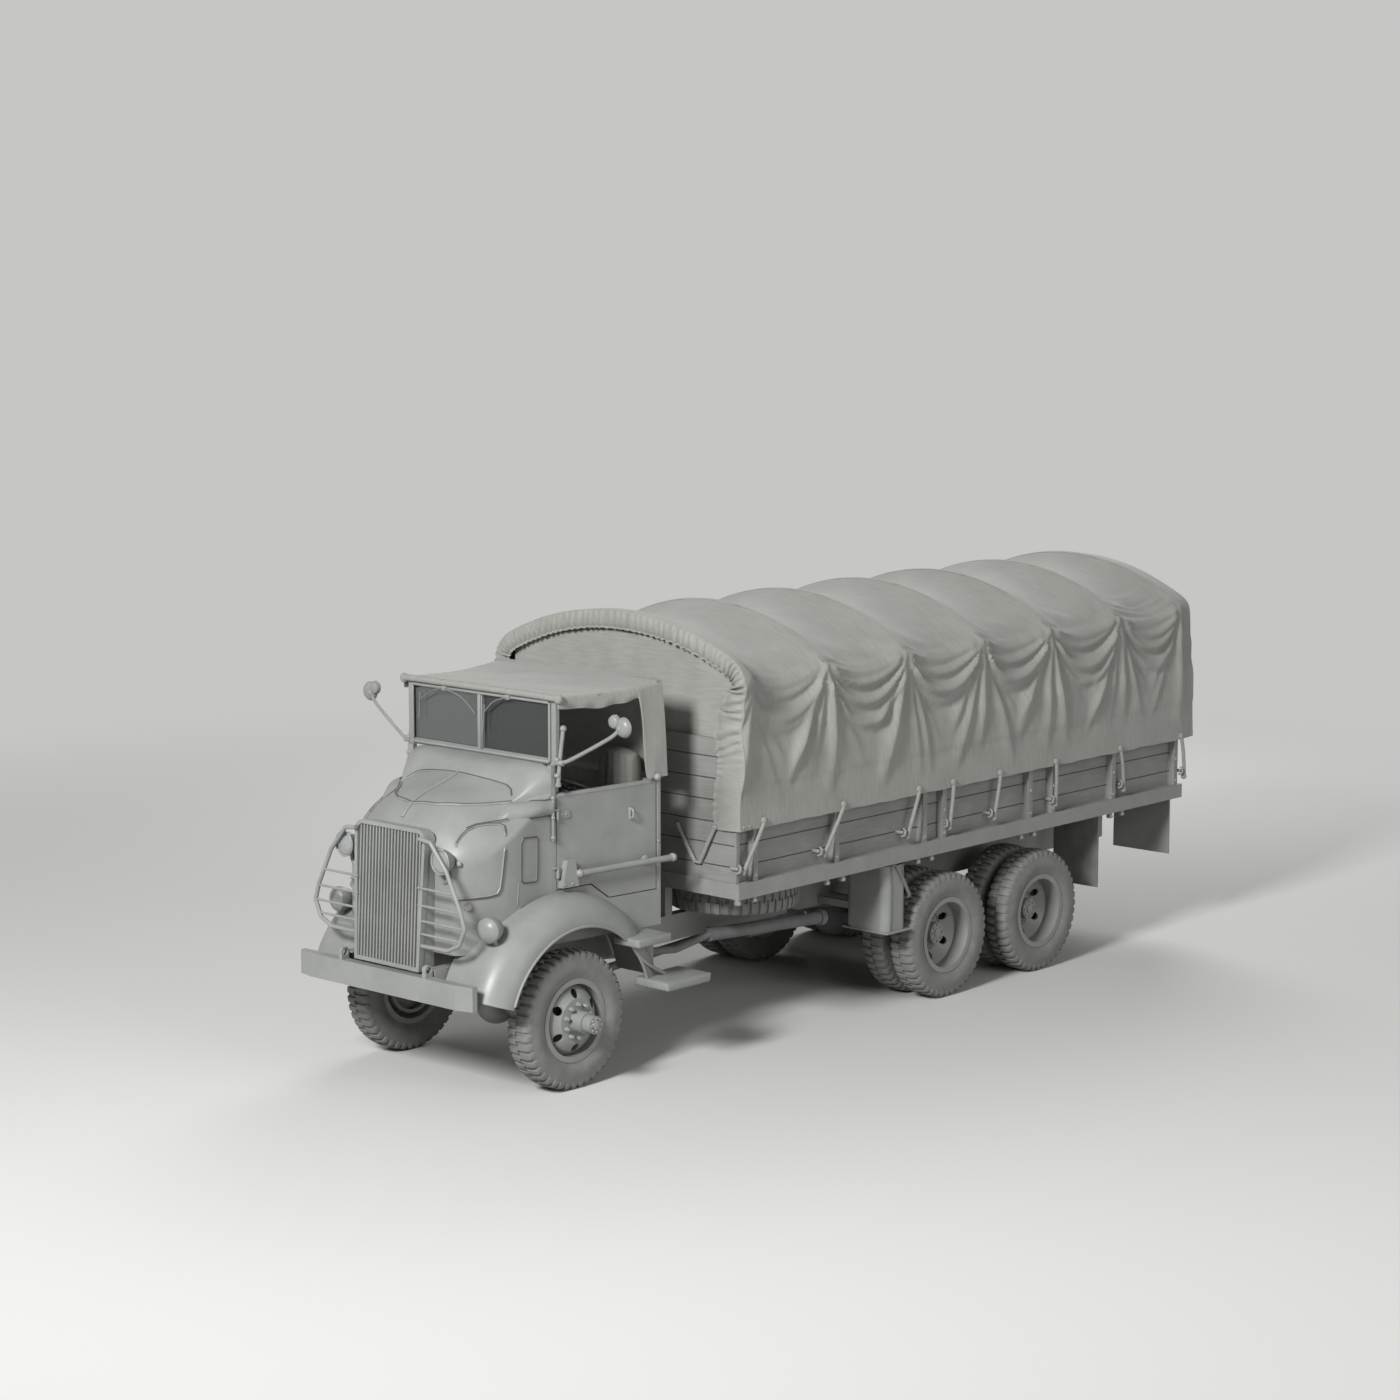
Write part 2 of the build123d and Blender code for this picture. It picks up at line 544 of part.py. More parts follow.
# Instrument panel with the steering column
WHEEL_X = 390
WHEEL_Y = 400
WHEEL_Z = 1890
COLUMN_FOOT = 60
down = Vector(0, COLUMN_FOOT - WHEEL_Y, FLOOR_TOP - WHEEL_Z)
column_axis = down.normalized() * -1
hub = Vector(WHEEL_X, WHEEL_Y, WHEEL_Z)
foot = hub + down
low_end = foot - column_axis * 40
column = rod((low_end.X, low_end.Y, low_end.Z), tuple(hub - column_axis * 30), 24)
column = column - block((-900, 900), (-200, 900), (900, FLOOR_TOP))
tip = rod(tuple(hub - column_axis * 40), tuple(hub + column_axis * 14), 10)
panel = block((-630, 630), (CAB_FRONT + 20, CAB_FRONT + 105), (1780, 2000))
shelf = block((WHEEL_X - 30, WHEEL_X + 30), (CAB_FRONT + 60, 330), (1790, 1820))
save("dash_and_column", panel + shelf + column + tip)
wheel_plane = Plane(origin=hub, x_dir=(1, 0, 0), z_dir=column_axis)
rim_wheel = wheel_plane * Torus(210, 14)
wheel = rim_wheel + extrude(wheel_plane.offset(-22) * Circle(38), 44)
for turn in (90, 210, 330):
    end = wheel_plane.from_local_coords((210 * cos(radians(turn)), 210 * sin(radians(turn)), 0))
    wheel = wheel + rod(tuple(hub), tuple(end), 9)
wheel = wheel - rod(tuple(hub - column_axis * 60), tuple(hub + column_axis * 15), 10 + RUNNING_FIT)
save("steering_wheel", wheel)

# Windscreen frame and its two panes
SHIELD_Y = (0, 32)
FRAME_BAR = 42
screen = block((-SHIELD_HALF, SHIELD_HALF), SHIELD_Y, (COWL_TOP, SHIELD_TOP))
panes = []
for x in ((FRAME_BAR / 2, SHIELD_HALF - FRAME_BAR), (-SHIELD_HALF + FRAME_BAR, -FRAME_BAR / 2)):
    gap = (COWL_TOP + FRAME_BAR, SHIELD_TOP - FRAME_BAR)
    screen = screen - block(x, (-10, 50), gap)
    panes.append(block(x, (13, 19), gap))
save("windscreen_frame", screen)
save("windscreen_glass", *panes)

# Canvas cab roof with its rear curtain, over a bar frame
ROOF_REAR = CAB_BACK + 15
ROOF_LEAD = -12
ROOF_HALF_FRONT = 716
ROOF_HALF_BACK = 768


def roof_volume(inset, low):
    trim = [(-ROOF_HALF_FRONT + inset, ROOF_LEAD + inset), (ROOF_HALF_FRONT - inset, ROOF_LEAD + inset),
            (ROOF_HALF_BACK - inset, ROOF_REAR - inset), (-ROOF_HALF_BACK + inset, ROOF_REAR - inset)]
    lead, rear = ROOF_LEAD + inset, ROOF_REAR - inset
    line = [(lead, ROOF_FRONT - inset), (360, ROOF_DIP - inset), (rear, ROOF_BACK - inset)]
    if inset:
        line = line + [(rear, low), (lead, low)]
    else:
        share = (640 - 360) / (rear - 360)
        corner = ROOF_DIP + share * (ROOF_BACK - ROOF_DIP) - VALANCE
        line = line + [(rear, BELT + 30), (690, BELT + 30), (640, corner - 20), (360, ROOF_DIP - VALANCE)]
        line = line + [(lead, ROOF_FRONT - VALANCE)]
    return side_slab(line, (-900, 900)) & plan_slab(trim, (low - 100, 2700))


room = roof_volume(CLOTH, 1800)
roof = roof_volume(0, 1800) - room
save("cab_canvas", roof)
bars = block((-800, 800), (CAB_BACK - 30, CAB_BACK), (ROOF_BACK - 58, ROOF_BACK + 100)) & room
for sign in (1, -1):
    upright = (sign * (CAB_HALF_BACK - 40), sign * (CAB_HALF_BACK - 10))
    bars = bars + block(upright, (CAB_BACK - 25, CAB_BACK), (BELT + 25, ROOF_BACK - 28))
bars = bars + (block((-800, 800), (345, 375), (ROOF_DIP - 33, ROOF_DIP + 100)) & room)
for sign in (1, -1):
    bar_plan = [(sign * 690, SHIELD_Y[1]), (sign * 660, SHIELD_Y[1])]
    bar_plan = bar_plan + [(sign * 710, CAB_BACK - 20), (sign * 740, CAB_BACK - 20)]
    rail_bar = plan_slab(bar_plan, (ROOF_DIP - 48, ROOF_DIP - 18))
    bars = bars + rail_bar
save("cab_top_frame", bars)

# Doors on strap hinges at the front post
HINGE_U = POST_DEPTH + 3
HINGE_OUT = 14
HINGE_Z = (DOOR_ARCH + 108, BELT - 125)
RAIL_Z = DOOR_ARCH + 94
HINGE_PIN = 6


def on_hinge(low, high, radius):
    """Round bar along the hinge axis."""
    foot, head = [tuple(side_point(HINGE_U, HINGE_OUT, z)) for z in (low, high)]
    return rod(foot, head, radius)


door_line = [(DOOR_FRONT, DOOR_ARCH), (335, DOOR_ARCH), (485, DOOR_LOW), (DOOR_BACK - DOOR_GAP, DOOR_LOW)]
door_line = door_line + [(DOOR_BACK - DOOR_GAP, BELT - 15), (DOOR_FRONT, BELT - 15)]
door = side_plate(door_line, (-DOOR_THICK, 0))
rail_start = tuple(side_point(DOOR_FRONT, -DOOR_THICK / 2, BELT - 5))
rail_end = tuple(side_point(DOOR_BACK - DOOR_GAP, -DOOR_THICK / 2, BELT - 5))
top_rail = rod(rail_start, rail_end, 20)
guard_rail = rod(tuple(side_point(185, 52, RAIL_Z)), tuple(side_point(1015, 52, RAIL_Z)), 22)
door = door + top_rail + guard_rail
stop = [(52, DOOR_ARCH + 13), (190, DOOR_ARCH + 13), (160, DOOR_ARCH + 188), (95, DOOR_ARCH + 188)]
door = door + side_plate(stop, (-1, 50))
for u in (240, 790):
    door = door + rod(tuple(side_point(u, -5, RAIL_Z)), tuple(side_point(u, 52, RAIL_Z)), 14)
pins = []
for z in HINGE_Z:
    barrel = on_hinge(z - 30, z + 30, 11)
    door = door + barrel + side_box((DOOR_FRONT + 2, 150), (z - 25, z + 25), (-1, 8))
for z in HINGE_Z:
    door = door - on_hinge(z - 40, z + 40, HINGE_PIN + RUNNING_FIT)
    pin = on_hinge(z - 30, z + 38, HINGE_PIN)
    foot = side_box((8, POST_DEPTH - 2), (z + 31, z + 45), (0, HINGE_OUT + 8))
    tongue = side_box((POST_DEPTH - 2, HINGE_U + 8), (z + 31, z + 45), (HINGE_OUT - 8, HINGE_OUT + 8))
    pins.append(pin + foot + tongue)
save("door_left", door)
save("door_right", flipped(door))
save("door_hinge_pins", *pins, *[flipped(pin) for pin in pins])
AXIS_POINT = side_point(HINGE_U, HINGE_OUT, HINGE_Z[0])
HINGE_PLACE = (round(AXIS_POINT.X, 3), round(AXIS_POINT.Y - MIDDLE_Y, 3))
print("door hinge", *HINGE_PLACE, "slant", round(degrees(slant), 3))

# Fenders turned about a cross axis, with steps behind
bend = FENDER_CROWN - ARCH_RADIUS


def fender_profile():
    mid = bend * sin(radians(45))
    x = FENDER_OUT - bend
    t = SHEET
    edge = Line((FENDER_IN, FENDER_CROWN), (x, FENDER_CROWN))
    edge = edge + ThreePointArc((x, FENDER_CROWN), (x + mid, ARCH_RADIUS + mid), (FENDER_OUT, ARCH_RADIUS))
    edge = edge + Line((FENDER_OUT, ARCH_RADIUS), (FENDER_OUT - t, ARCH_RADIUS))
    small = bend - t
    mid = small * sin(radians(45))
    inner = FENDER_CROWN - t
    edge = edge + ThreePointArc((FENDER_OUT - t, ARCH_RADIUS), (x + mid, ARCH_RADIUS + mid), (x, inner))
    edge = edge + Line((x, inner), (FENDER_IN, inner)) + Line((FENDER_IN, inner), (FENDER_IN, FENDER_CROWN))
    return make_face(edge)


FENDER_START = 14
FENDER_END = 161
fender = revolve(fender_profile(), Axis.X, FENDER_END - FENDER_START)
fender = Pos(0, ARCH_Y, ARCH_Z) * Rot(FENDER_START, 0, 0) * fender
STEP_LOW = 600
STEP_Z = 900
step = block((790, 1010), (430, 740), (STEP_Z, STEP_Z + 34))
step = step + block((800, 1100), (612, 1030), (STEP_LOW, STEP_LOW + 32))
step = step + block((830, 850), (670, 740), (STEP_LOW + 20, STEP_Z + 10))
under = Line((FENDER_IN, FENDER_CROWN), (FENDER_OUT - bend, FENDER_CROWN))
lean = bend * sin(radians(45))
bend_middle = (FENDER_OUT - bend + lean, ARCH_RADIUS + lean)
under = under + ThreePointArc((FENDER_OUT - bend, FENDER_CROWN), bend_middle, (FENDER_OUT, ARCH_RADIUS))
under = under + Polyline((FENDER_OUT, ARCH_RADIUS), (FENDER_OUT, 0), (FENDER_IN, 0))
under = under + Line((FENDER_IN, 0), (FENDER_IN, FENDER_CROWN))
fender_core = Pos(0, ARCH_Y, ARCH_Z) * revolve(make_face(under), Axis.X)
fender = fender + (step - fender_core)
cab_space = plan_slab(cab_plan, (CAB_LOW, 2000))
fender = fender - cab_space - nose_outer - block((0, 668), (-300, 1200), (500, 2000))
fender = max(fender.solids(), key=lambda s: s.volume)
save("fenders", fender, flipped(fender))

# Head lamps on the nose and lamps on the fenders
lamp = Pos(455, -778, 1565) * Rot(90, 0, 0) * Cylinder(85, 74)
lamp = lamp + rod((395, -745, 1565), (395, NOSE_FRONT, 1565), 24)
marker = Pos(760, -600, 1130) * Rot(90, 0, 0) * Cylinder(52, 80)
marker = marker + rod((760, -590, 1130), (760, -520, 1040), 14)
marker = marker - Pos(0, ARCH_Y, ARCH_Z) * drum((500, 900), FENDER_CROWN - 4)
lamp_set = [lamp, max((marker - fender).solids(), key=lambda s: s.volume)]
save("front_lamps", *lamp_set, *[flipped(one) for one in lamp_set])

# Mirrors on long arms from the screen corners
arm_foot = [(SHIELD_HALF, 16, COWL_TOP + 20), (SHIELD_HALF + 50, 16, COWL_TOP + 20)]
arm_path = FilletPolyline(*arm_foot, (1120, 80, 2330), (1170, 95, 2400), radius=30)
arm = sweep(Plane(origin=arm_path @ 0, z_dir=arm_path % 0) * Circle(9), path=arm_path)
mirror_head = arm + Pos(1175, 105, 2404) * Rot(90, 0, 0) * Cylinder(80, 24)
save("mirrors", mirror_head, flipped(mirror_head))

# Load bed: floor with side rails, sills, walls
floor = block((-BED_HALF + 42, BED_HALF - 42), (BED_FRONT, BED_REAR), (BED_TOP - 37, BED_TOP))
for sign in (1, -1):
    sill_width = (sign * (BED_HALF - 42), sign * BED_HALF)
    floor = floor + block(sill_width, (BED_FRONT, BED_REAR), (SILL_LOW, BED_TOP))
floor = floor + block((-BED_HALF, BED_HALF), (BED_FRONT - 16, BED_FRONT), (SILL_LOW, BED_TOP))
save("bed_floor", floor)
cross = [block((-BED_HALF + 42, BED_HALF - 42), (y - 35, y + 35), (SILL_LOW, BED_TOP - 37)) for y in SILL_Y]
long_sill = block((RAIL_OUT - RAIL_WIDTH, RAIL_OUT), (2440, RAIL_REAR), (RAIL_TOP, SILL_LOW))
stand = block((RAIL_OUT - RAIL_WIDTH, RAIL_OUT), (SILL_Y[0] - 35, SILL_Y[0] + 35), (RAIL_TOP, SILL_LOW))
save("bed_sills", *cross)
save("bed_runners", long_sill, stand, flipped(long_sill), flipped(stand))
wall_half = BED_HALF - 37
save("bed_front_wall", block((-wall_half, wall_half), (BED_FRONT, BED_FRONT + 30), (BED_TOP, WALL_TOP)))
side_x = (BED_HALF - SIDE_RECESS - SIDE_THICK, BED_HALF - SIDE_RECESS)
wall = block(side_x, (BED_FRONT + 30, BED_REAR), (BED_TOP, SIDE_TOP))
for y in POST_Y:
    post = (y - POST_WIDTH / 2, y + POST_WIDTH / 2)
    wall = wall + block((side_x[1], BED_HALF - 11), post, (BED_TOP, SIDE_TOP - CAP_HEIGHT))
wall = wall + block((side_x[0], BED_HALF - 12), (BED_FRONT + 30, BED_REAR), (SIDE_TOP - CAP_HEIGHT, SIDE_TOP))
save("bed_sides", wall, flipped(wall))

# Tailgate dropping on pins under the floor edge
GATE_HALF = side_x[0] - 10
GATE_AXIS_Y = BED_REAR + 16
GATE_AXIS_Z = BED_TOP - 14
GATE_PIN = 8
gate = block((-GATE_HALF, GATE_HALF), (BED_REAR - 32, BED_REAR - 2), (BED_TOP + 6, SIDE_TOP - 20))
gate_pins = []
for x in (-800, -270, 270, 800):
    centre = Pos(x, GATE_AXIS_Y, GATE_AXIS_Z)
    strap = block((x - 28, x + 28), (BED_REAR - 3, BED_REAR + 14), (GATE_AXIS_Z + 18, BED_TOP + 140))
    gate = gate + centre * drum((-30, 30), 14) + strap
    gate = gate + block((x - 28, x + 28), (BED_REAR + 3, BED_REAR + 14), (GATE_AXIS_Z, GATE_AXIS_Z + 30))
    lug = block((x + 31, x + 45), (BED_REAR, BED_REAR + 28), (GATE_AXIS_Z - 14, GATE_AXIS_Z + 12))
    gate_pins.append(centre * drum((-30, 38), GATE_PIN) + lug)
for x in (-800, -270, 270, 800):
    gate = gate - Pos(x, GATE_AXIS_Y, GATE_AXIS_Z) * drum((-40, 40), GATE_PIN + RUNNING_FIT)
save("tailgate", gate)
save("tailgate_pins", *gate_pins)

# Canvas over the bed: straight over each bow and hanging between them
BED_CLOTH = 6
CANVAS_FRONT = BED_FRONT - 7
BOW_REST = BOW_SIZE / 2 + 2


def arch_face(inset, low, slack=0):
    """Section of the canvas, drawn in by an inset and let down by a share of the sag."""
    half = CANVAS_HALF - inset
    knee = SHOULDER_HALF - inset - slack * DRAW_IN
    z = SHOULDER - inset * 0.8 - slack * SAG * 0.6
    top = CROWN - inset - slack * SAG
    share = (low - HEM) / (z - HEM)
    foot = half + (knee - half) * share
    edge = Line((foot, low), (knee, z)) + ThreePointArc((knee, z), (0, top), (-knee, z))
    edge = edge + Line((-knee, z), (-foot, low)) + Line((-foot, low), (foot, low))
    return make_face(edge)


def across(y):
    return Plane(origin=(0, y, 0), x_dir=(1, 0, 0), z_dir=(0, -1, 0))


def along(face, y):
    return extrude(across(y[0]) * face, -(y[1] - y[0]))


def bay(inset, low, start, end):
    faces = [arch_face(inset, low), arch_face(inset, low, 1), arch_face(inset, low)]
    return loft([across(y) * face for y, face in zip((start, (start + end) / 2, end), faces)])


SHELL = arch_face(0, HEM) - arch_face(BED_CLOTH, HEM)
canvas = along(SHELL, (CANVAS_FRONT, BOW_Y[0] + BOW_REST))
for near, far in zip(BOW_Y, BOW_Y[1:]):
    start, end = near + BOW_REST, far - BOW_REST
    canvas = canvas + (bay(0, HEM, start, end) - bay(BED_CLOTH, HEM - 1, start, end))
    canvas = canvas + along(SHELL, (end, far + BOW_REST))
canvas = canvas + along(SHELL, (BOW_Y[-1] + BOW_REST, CANVAS_REAR))
band = along(arch_face(0, HEM) - arch_face(HEM_BAND, HEM), (CANVAS_FRONT - BED_CLOTH, CANVAS_FRONT))
wall_back = BED_FRONT + 30
curtain = along(arch_face(BED_CLOTH - 1, HEM), (wall_back, wall_back + BED_CLOTH))
curtain = curtain - block((-1500, 1500), (1000, 2000), (1000, WALL_TOP - 8))
save("cargo_canvas", canvas + band + curtain)
hoop_face = arch_face(BED_CLOTH, SIDE_TOP) - arch_face(BED_CLOTH + BOW_SIZE, SIDE_TOP)
save("canvas_bows", *[along(hoop_face, (y - BOW_SIZE / 2, y + BOW_SIZE / 2)) for y in BOW_Y])

# Mud flaps and rear plates
flap = block((640, 1055), (SILL_Y[6] - 6, SILL_Y[6] + 6), (510, SILL_LOW))
save("mud_flaps", flap, flipped(flap))
plate = block((529, 1053), (SILL_Y[7] - 20, SILL_Y[7] - 8), (630, SILL_LOW))
lamp_box = block((700, 800), (SILL_Y[7] - 8, SILL_Y[7] + 40), (930, 1010))
save("rear_plates", plate + lamp_box, flipped(plate + lamp_box))

# Spare wheel lying on the left rail
SPARE_X = 500
SPARE_Y = 1930
spare = Pos(SPARE_X, SPARE_Y, RAIL_TOP + TYRE.bounding_box().max.X) * Rot(0, 90, 0)
save("spare_tyre", spare * TYRE)
spare_front = [(12, DISC_RADIUS + 1), (62, 205), (92, 150), (92, 80)]
spare_back = [(82, 80), (82, 146), (50, 197), (0, DISC_RADIUS + 1)]
plain = rim() + dish(spare_front + spare_back)
save("spare_wheel", spare * plain)

# Fuel tank on the left, tool box on the right
tank = fillet(block((705, 1090), (2890, 3130), (590, 1060)).edges().filter_by(Axis.Z), 70)
tank = tank + block((695, 1110), (2880, 3145), (578, 590))
for y in (2920, 3060):
    tank = tank + block((RAIL_OUT, 720), (y, y + 40), (RAIL_LOW + 20, RAIL_LOW + 70))
save("fuel_tank", tank)
chest = block((-1090, -700), (2480, 3100), (640, 1010))
chest = chest + block((-720, -RAIL_OUT), (2540, 2580), (RAIL_LOW + 20, RAIL_LOW + 70))
chest = chest + block((-720, -RAIL_OUT), (3000, 3040), (RAIL_LOW + 20, RAIL_LOW + 70))
save("tool_box", chest)
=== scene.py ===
import math

import bpy
import numpy as np
from mathutils import Matrix, Vector
from mathutils.bvhtree import BVHTree


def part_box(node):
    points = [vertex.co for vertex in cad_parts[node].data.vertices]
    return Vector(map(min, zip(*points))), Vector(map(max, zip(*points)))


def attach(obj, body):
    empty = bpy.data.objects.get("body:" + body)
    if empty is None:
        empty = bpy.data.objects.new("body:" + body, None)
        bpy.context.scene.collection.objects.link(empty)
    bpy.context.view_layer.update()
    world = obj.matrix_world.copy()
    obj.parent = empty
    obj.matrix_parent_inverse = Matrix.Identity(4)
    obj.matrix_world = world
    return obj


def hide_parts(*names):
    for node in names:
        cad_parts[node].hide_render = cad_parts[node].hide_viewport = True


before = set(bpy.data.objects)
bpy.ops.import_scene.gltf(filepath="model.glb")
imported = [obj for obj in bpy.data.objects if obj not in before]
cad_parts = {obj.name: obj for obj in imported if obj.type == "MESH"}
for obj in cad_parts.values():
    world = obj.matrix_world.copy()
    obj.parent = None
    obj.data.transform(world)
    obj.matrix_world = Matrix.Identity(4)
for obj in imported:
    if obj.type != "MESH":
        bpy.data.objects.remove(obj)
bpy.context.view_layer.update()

# Places are in mm from the front axle: x to the truck's left, y back, z up from the ground
wheel_low, wheel_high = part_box("front_wheel_left")
FRONT_AXLE = (wheel_low[1] + wheel_high[1]) / 2
SIDES = (("left", 1), ("right", -1))
TYRE_R, FRONT_WHEEL_X, REAR_WHEEL_X, TWIN_X = 457, 765, 868, 130
REAR_AXLES = ((1, 3607), (2, 4725))


def at(x, y, z):
    return Vector((x / 1000, y / 1000 + FRONT_AXLE, z / 1000))


# Hand work: one piece is picked, shaped and finished at a time
def pick(*pieces):
    bpy.ops.object.select_all(action="DESELECT")
    for piece in pieces:
        piece.select_set(True)
    bpy.context.view_layer.objects.active = pieces[0]


def renamed(piece, name):
    piece.name = piece.data.name = name
    return piece


def placed(name, data):
    """New piece, lamp or camera in the scene."""
    piece = bpy.data.objects.new(name, data)
    bpy.context.collection.objects.link(piece)
    return piece


def settle(name):
    """Names the newest piece and puts its place into its mesh."""
    piece = renamed(bpy.context.object, name)
    bpy.ops.object.transform_apply(location=True, rotation=True, scale=True)
    return piece


def press(piece, kind, **settings):
    """Applies one modifier."""
    modifier = piece.modifiers.new(kind.lower(), kind)
    for key, value in settings.items():
        setattr(modifier, key, value)
    pick(piece)
    bpy.ops.object.modifier_apply(modifier=modifier.name)


def soften(piece, edge, rounds=2):
    press(piece, "BEVEL", width=edge / 1000, segments=rounds, limit_method="ANGLE",
          angle_limit=math.radians(40))


def block(name, x, y, z, edge=3, rounds=2):
    low, high = at(x[0], y[0], z[0]), at(x[1], y[1], z[1])
    bpy.ops.mesh.primitive_cube_add(size=1, location=(low + high) / 2, scale=high - low)
    piece = settle(name)
    soften(piece, edge, rounds)
    return piece


def rod(name, start, end, radius, sides=20, edge=1.5):
    start, end = at(*start), at(*end)
    span = end - start
    bpy.ops.mesh.primitive_cylinder_add(vertices=sides, radius=radius / 1000, depth=span.length,
                                        location=(start + end) / 2,
                                        rotation=span.to_track_quat("Z", "Y").to_euler())
    piece = settle(name)
    soften(piece, edge)
    return piece


def bent_bar(name, points, radius, roundness=4, closed=False):
    """Round bar bent smoothly through its points."""
    line = bpy.data.curves.new(name, "CURVE")
    line.dimensions = "3D"
    spline = line.splines.new("NURBS")
    spline.points.add(len(points) - 1)
    for point, place in zip(spline.points, points):
        point.co = (*at(*place), 1)
    spline.use_cyclic_u = closed
    spline.order_u = 3
    spline.use_endpoint_u = not closed
    spline.resolution_u = 6
    line.bevel_depth = radius / 1000
    line.bevel_resolution = roundness
    line.use_fill_caps = True
    pick(placed(name, line))
    bpy.ops.object.convert(target="MESH")
    return settle(name)


def ball(name, place, radius, squash=(1, 1, 1), rings=12):
    bpy.ops.mesh.primitive_uv_sphere_add(segments=2 * rings, ring_count=rings, radius=radius / 1000,
                                         location=at(*place), scale=squash)
    return settle(name)


def spun(name, line, steps, closed, merge):
    """Skin turned about the X axis from points of x and radius in mm."""
    count = len(line)
    edges = [(n, (n + 1) % count) for n in range(count if closed else count - 1)]
    mesh = bpy.data.meshes.new(name)
    mesh.from_pydata([(x / 1000, 0, r / 1000) for x, r in line], edges, [])
    piece = placed(name, mesh)
    pick(piece)
    bpy.ops.object.mode_set(mode="EDIT")
    bpy.ops.mesh.select_all(action="SELECT")
    bpy.ops.mesh.spin(steps=steps, angle=2 * math.pi, center=(0, 0, 0), axis=(1, 0, 0))
    bpy.ops.mesh.select_all(action="SELECT")
    bpy.ops.mesh.remove_doubles(threshold=merge)
    bpy.ops.mesh.normals_make_consistent(inside=False)
    bpy.ops.mesh.select_all(action="DESELECT")
    bpy.ops.object.mode_set(mode="OBJECT")
    return piece


def lathe(name, line, place):
    """Turned piece, moved to its place."""
    piece = spun(name, line, 40, False, 0.00005)
    piece.data.transform(place)
    return piece


def turned(angle, axis):
    return Matrix.Rotation(math.radians(angle), 4, axis)


def moved(x, y, z, angle=0, axis="Z"):
    return Matrix.Translation(at(x, y, z)) @ turned(angle, axis)


def copied(piece, matrix):
    twin = piece.copy()
    twin.data = piece.data.copy()
    twin.data.transform(matrix)
    if matrix.determinant() < 0:
        twin.data.flip_normals()
    bpy.context.collection.objects.link(twin)
    return twin


def joined(name, pieces):
    pick(*pieces)
    if len(pieces) > 1:
        bpy.ops.object.join()
    return renamed(bpy.context.object, name)


OTHER_SIDE = Matrix.Scale(-1, 4, (1, 0, 0))


def both_sides(name, pieces):
    return joined(name, pieces + [copied(piece, OTHER_SIDE) for piece in pieces])


def done(piece, finish, body="chassis", angle=35):
    """Gives a piece its finish and the body that carries it."""
    material, slot = finish
    piece.data.materials.clear()
    piece.data.materials.append(material)
    pick(piece)
    bpy.ops.object.shade_smooth_by_angle(angle=math.radians(angle))
    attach(piece, body)
    return piece


# Finishes
def tone(code):
    """Linear colour from an sRGB hex value."""
    parts = [int(code[n:n + 2], 16) / 255 for n in (1, 3, 5)]
    return [p / 12.92 if p <= 0.04045 else ((p + 0.055) / 1.055) ** 2.4 for p in parts] + [1]


def add(tree, kind, feeds, **settings):
    """Adds a node, sets it and links its sockets."""
    node = tree.nodes.new("ShaderNode" + kind)
    for key, value in settings.items():
        setattr(node, key, value)
    for socket, value in feeds.items():
        if isinstance(value, tuple) and hasattr(value[0], "outputs"):
            tree.links.new(value[0].outputs[value[1]], node.inputs[socket])
        else:
            node.inputs[socket].default_value = value
    return node


def started(name):
    material = bpy.data.materials.new(name)
    material.use_nodes = True
    material.node_tree.nodes.clear()
    return material, material.node_tree


def shaded(tree, feeds):
    shader = add(tree, "BsdfPrincipled", feeds)
    add(tree, "OutputMaterial", {"Surface": (shader, "BSDF")})


def bands(pitch):
    """Scale that gives a wave texture bands of a pitch in mm."""
    return 2 * math.pi / (20 * pitch / 1000)


def coat(name, dark, pale, rough, patch, grain, depth):
    """Painted, cast or moulded coat: uneven patches of tone and a fine skin. Sizes are in mm."""
    material, tree = started(name)
    place = add(tree, "TexCoord", {}), "Object"
    patches = add(tree, "TexNoise", {"Vector": place, "Scale": 1000 / patch,
                                     "Detail": 7, "Roughness": 0.62})
    skin = add(tree, "TexNoise", {"Vector": place, "Scale": 1000 / grain, "Detail": 3})
    clouds = {"Value": (patches, "Fac"), "From Min": 0.3, "From Max": 0.7}
    spread = add(tree, "MapRange", clouds)
    sheen = add(tree, "MapRange", {**clouds, "To Min": rough - 0.07, "To Max": rough + 0.07})
    colour = add(tree, "Mix", {"Factor": (spread, "Result"), "A": tone(dark), "B": tone(pale)},
                 data_type="RGBA")
    relief = add(tree, "Bump", {"Height": (skin, "Fac"), "Strength": 0.5, "Distance": depth / 1000})
    shaded(tree, {"Base Color": (colour, "Result"), "Roughness": (sheen, "Result"),
                  "Normal": (relief, "Normal"), "Specular IOR Level": 0.35})
    return material


# Matt enamel sprayed on pressed steel: dull grey, slightly cloudy, with a soft broad sheen
STEEL = (coat("matt_enamel_on_pressed_steel", "#7a7c7a", "#868885", 0.38, 260, 14, 0.2), "painted_steel")
# Chassis paint over rolled and cast iron: darker, rougher, with a sandy skin
IRON = (coat("chassis_paint_on_cast_iron", "#616261", "#707170", 0.68, 120, 9, 0.7), "chassis_iron")
# Vulcanised rubber: dark grey bloom, dusty patches, no shine
RUBBER = (coat("vulcanised_tyre_rubber", "#696967", "#797977", 0.82, 90, 6, 0.4), "tyre_rubber")
# Painted shade along the joints of the body: dark, dull lines that stand in for the shade in the seam grooves
SEAM_SHADE = (coat("brushed_seam_sealer", "#414140", "#4e4e4d", 0.75, 60, 6, 0.2), "tyre_rubber")
# Hard moulded phenolic plastic: near black with a smooth low shine
PLASTIC = (coat("moulded_black_phenolic", "#2c2c2b", "#373736", 0.42, 200, 20, 0.1), "black_plastic")
# Zinc plated steel of hooks and fittings: paler, a little brighter
PLATED = (coat("dull_zinc_plated_steel", "#7d7e7e", "#8f908f", 0.45, 60, 8, 0.2), "painted_steel")
# Painted hardwood rails and sills: the boards' paint over a tight straight grain
RAILS = (coat("painted_hardwood_rails", "#7b7c79", "#878884", 0.6, 180, 12, 0.3), "bed_wood")
